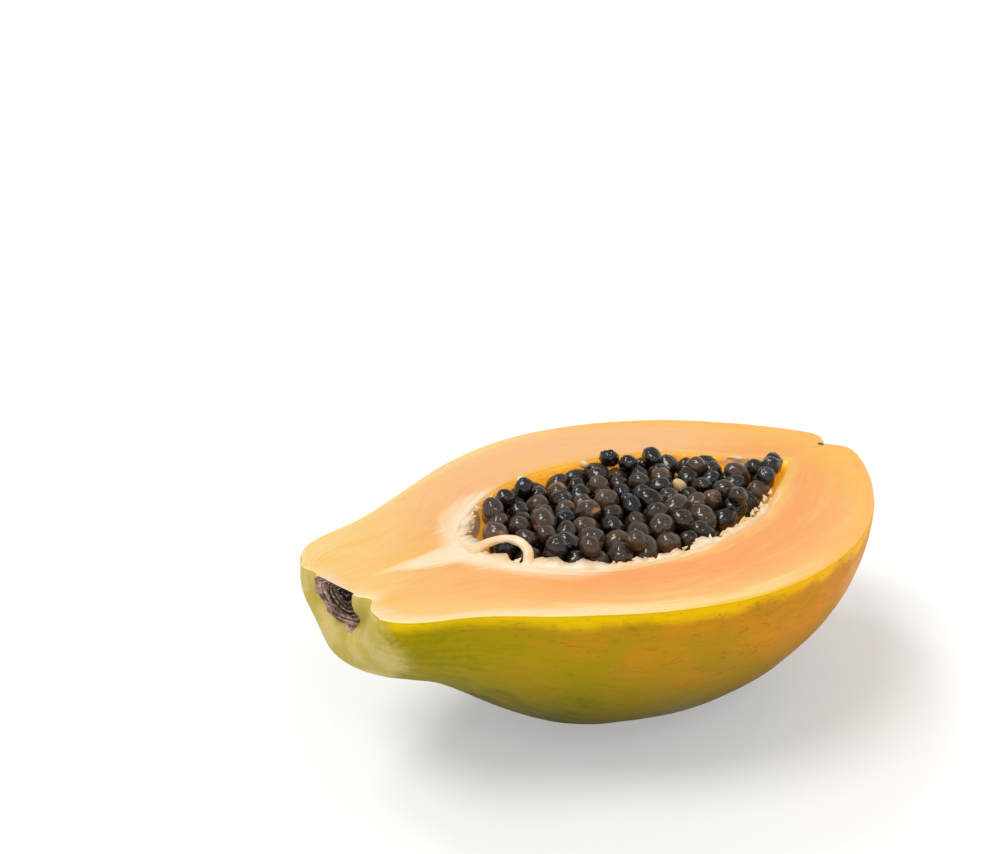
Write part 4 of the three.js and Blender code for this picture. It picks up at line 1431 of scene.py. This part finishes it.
scar_share = even_shares(SCAR_RINGS)[:, None]
scar_turns = np.linspace(0, np.pi, SCAR_SIDES + 1)[None]
sideways = np.cos(scar_turns) * np.where(scar_turns > np.pi / 2, SCAR_NEAR_SHARE, 1)
edge_wave = 1 + 0.03 * np.sin(9 * scar_turns) + 0.02 * np.sin(23 * scar_turns)
scar_y = SCAR_MIDDLE + SCAR_RADIUS * scar_share * edge_wave * sideways
scar_z = -SCAR_RADIUS * scar_share * edge_wave * np.sin(scar_turns)
relief_line = curve_through(SCAR_RELIEF)
relief = np.interp(scar_share, relief_line[:, 1], relief_line[:, 0])
ring_place = np.stack([scar_share * 14 + 0 * scar_turns, 3 * np.cos(scar_turns) + 0 * scar_share,
                       3 * np.sin(scar_turns) + 0 * scar_share], axis=-1)
face_place = np.stack([0 * scar_y, scar_y, scar_z], axis=-1)
crust = 0.8 * noise_at(ring_place, 1.0, 3) + 0.5 * noise_at(face_place, 0.5, 8)
crust_share = 1 - smooth_step(scar_share, 0.93, 1.0)
face_x = on_end_face(scar_y, scar_z)
front_x = face_x - relief - SCAR_CRUST * crust * crust_share
front_x = np.maximum(np.minimum(front_x, face_x - 0.08), box_low[0] + 0.05)
front_face = np.stack([front_x, scar_y, scar_z], axis=-1)
back_face = np.stack([face_x + 0.5, scar_y, scar_z], axis=-1)
front_face[0] = front_face[0].mean(axis=0)
scar_loops = np.concatenate([front_face, back_face[:, ::-1]], axis=1)
scar_count, scar_points = scar_loops.shape[:2]
outer = (scar_count - 1) * scar_points + np.arange(SCAR_SIDES)
outer_back = (2 * scar_count - 1) * scar_points - 1 - outer
scar_rim = np.stack([outer, outer + 1, outer_back - 1, outer_back], axis=-1)
scar_faces = np.vstack([loop_faces(scar_count, scar_points), scar_rim])
scar = new_piece("corky_scar", scar_loops.reshape(-1, 3), scar_faces)
store(scar, "crust", np.concatenate([crust, 0 * crust], axis=1))
close_up(scar, 1e-6)

# %% Cork finish
CORK_RINGS = [
    (0.0, (0.004, 0.002, 0.002)), (0.2, (0.01, 0.006, 0.005)), (0.38, (0.1, 0.055, 0.038)),
    (0.5, (0.03, 0.015, 0.011)), (0.62, (0.08, 0.042, 0.03)), (0.7, (0.42, 0.27, 0.2)),
    (0.77, (0.1, 0.05, 0.036)), (0.85, (0.46, 0.29, 0.22)), (0.92, (0.17, 0.09, 0.065)),
    (1.0, (0.58, 0.42, 0.32)),
]
CORK_PALE = (0.62, 0.5, 0.42)
RING_STEP = 55.0

cork_finish, cork, shader, place = new_finish("Dry cork rings")
millimetres, (_, along_y, along_z) = on_fruit(cork, place)
across_scar = cork.minus(along_y, SCAR_MIDDLE)
squares = cork.plus(cork.calc("POWER", across_scar, 2.0), cork.calc("POWER", along_z, 2.0))
ring_noise = cork.noise(millimetres, 0.9, 4.0, 0.65)
ring_way = cork.plus(cork.times(cork.calc("POWER", squares, 0.5), 0.094), cork.times(ring_noise, 0.07))
colour = cork.ramp(ring_way, CORK_RINGS)
ring_lines = cork.step(cork.calc("SINE", cork.times(ring_way, RING_STEP)), 0.6, 1.0)
colour = cork.paint(colour, CORK_PALE, ring_lines, cork.step(ring_noise, 0.4, 0.6, 0.1, 0.8))
crust_light = cork.step(cork.attribute("crust", "Fac"), -0.6, 0.4, 1.25, 0.55)
shade = cork.add("ShaderNodeCombineColor", {"Red": crust_light, "Green": crust_light, "Blue": crust_light})
colour = cork.paint(colour, shade.outputs[0], 1.0, way="MULTIPLY")
cork_grain = cork.use(grain, {"Grain Size": 0.0004, "Detail": 5.0, "Place": place})
set_shader(cork, shader, cork_grain, 0.0003, Base_Color=colour, Roughness=0.8, Specular_IOR_Level=0.1)
scar.data.materials.append(cork_finish)

# %% [markdown]
# In the dimple at the other end sits what is left of the flower, a dark dry speck. It is small, so
# a rough icosphere cut flat by the knife is enough.

# %% Dried blossom speck
SPECK_RADIUS = 1.1
SPECK_AT = Vector((159.2, 0.2, -0.1))
SPECK_FLAT, SPECK_TOP, SPECK_TONE = 0.7, 0.1, 0.4


def speck_point(place):
    rough = 1 + 0.35 * noise.noise(place * 2.1) + 0.2 * noise.noise(place * 5)
    place = place * rough * SPECK_RADIUS
    flat = Vector((SPECK_FLAT * place.x, place.y, min(place.z, SPECK_TOP)))
    return Vector(in_metres(flat + SPECK_AT))


speck = show("blossom_speck", ball("blossom_speck", 3, speck_point))
speck.data.materials.append(bare_finish)
store(speck, "tone", np.full(len(speck.data.vertices), SPECK_TONE))

# %% [markdown]
# ## Riding and replacing
# Nothing on a papaya moves, so every piece rides on the one body. Each stands for the node of the
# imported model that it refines.

# %% Tie every piece to the frame
PIECES = [
    (fruit, "papaya_half", "fruit"), (wet_seeds, "seeds", "seeds"), (bare_seeds, "seeds", "seeds"),
    (pale_seeds, "seeds", "seeds"), (tan_seeds, "seeds", "seeds"), (deep_piece, "seeds", "seeds"),
    (bed, "seeds", "seeds"),
    (lining, "pulp", "pulp"), (shreds, "pulp", "pulp"), (strand, "pulp", "pulp"),
    (scar, "stalk_scar", "stalk_scar"),
]
for piece, node, slot_name in PIECES:
    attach(piece, "root")
    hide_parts(node)
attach(speck, "root")

# %% [markdown]
# ## Stage, light and camera
# The fruit lies on a pale floor under soft studio light from the left and above. Two weaker lamps
# add more small lights on the wet seeds. A bright surround fills the shadows. It is dimmer above
# and behind, so the seeds don't turn milky with its reflection. The floor glows a little, as a
# lit table does, which keeps the shadow pale. The camera looks from the near side of the stalk
# end, down onto the cut.

# %% Floor, lights, surround and camera
FLOOR_SIZE = 120.0
FLOOR_TONE, FLOOR_GLOW = 0.7, 0.31
HORIZON, OVERHEAD, BEHIND = (1.0, 1.0, 1.0), (0.45, 0.42, 0.385), (0.5, 0.5, 0.5)
CAMERA_AT = Vector((-0.17007, -0.2071, 0.18262))
CAMERA_AIM = Vector((0.00463, 0.064, 0.05562))
CAMERA_LENS, SENSOR_WIDTH = 40, 36
NEAREST, FARTHEST = 0.01, 200

floor_mesh = bpy.data.meshes.new("floor")
edge = FLOOR_SIZE / 2
corners = [(-edge, -edge, 0), (edge, -edge, 0), (edge, edge, 0), (-edge, edge, 0)]
floor_mesh.from_pydata(corners, [], [(0, 1, 2, 3)])
floor = show("floor", floor_mesh)
floor_finish, _, shader, _ = new_finish("Pale floor")
shader.inputs["Base Color"].default_value = (FLOOR_TONE, FLOOR_TONE, FLOOR_TONE, 1)
shader.inputs["Emission Color"].default_value = (1, 1, 1, 1)
shader.inputs["Emission Strength"].default_value = FLOOR_GLOW
shader.inputs["Roughness"].default_value = 0.7
shader.inputs["Specular IOR Level"].default_value = 0.1
floor.data.materials.append(floor_finish)

world = bpy.data.worlds.new("Studio")
world.use_nodes = True
sky = Wiring(world.node_tree)
_, towards_back, up = sky.add(
    "ShaderNodeSeparateXYZ", {"Vector": sky.add("ShaderNodeTexCoord").outputs["Generated"]}
).outputs
surround = sky.blend(sky.step(up, 0.05, 1.0), HORIZON, OVERHEAD)
surround = sky.paint(surround, BEHIND, sky.step(towards_back, 0.15, 0.85), way="MULTIPLY")
sky.put(world.node_tree.nodes["Background"].inputs["Color"], surround)
bpy.context.scene.world = world


def far_light(name, comes_from, spread, strength):
    """A light so far away that it falls evenly on the whole floor. Spread is its width in degrees."""
    data = bpy.data.lights.new(name, "SUN")
    data.angle = math.radians(spread)
    data.energy = strength
    show(name, data).rotation_euler = (-Vector(comes_from)).to_track_quat("-Z", "Y").to_euler()


far_light("soft_key", (-0.46, 0.05, 0.88), 25, 1.4)
far_light("top_light", (-0.15, 0.45, 0.88), 13, 0.42)
far_light("front_light", (-0.2, -0.62, 0.76), 9, 0.16)

camera_data = bpy.data.cameras.new("camera")
camera_data.lens = CAMERA_LENS
camera_data.sensor_width = SENSOR_WIDTH
camera_data.clip_start, camera_data.clip_end = NEAREST, FARTHEST
camera = show("camera", camera_data)
camera.location = CAMERA_AT
camera.rotation_euler = (CAMERA_AIM - CAMERA_AT).to_track_quat("-Z", "Y").to_euler()
bpy.context.scene.camera = camera
bpy.context.scene.view_settings.view_transform = "Standard"
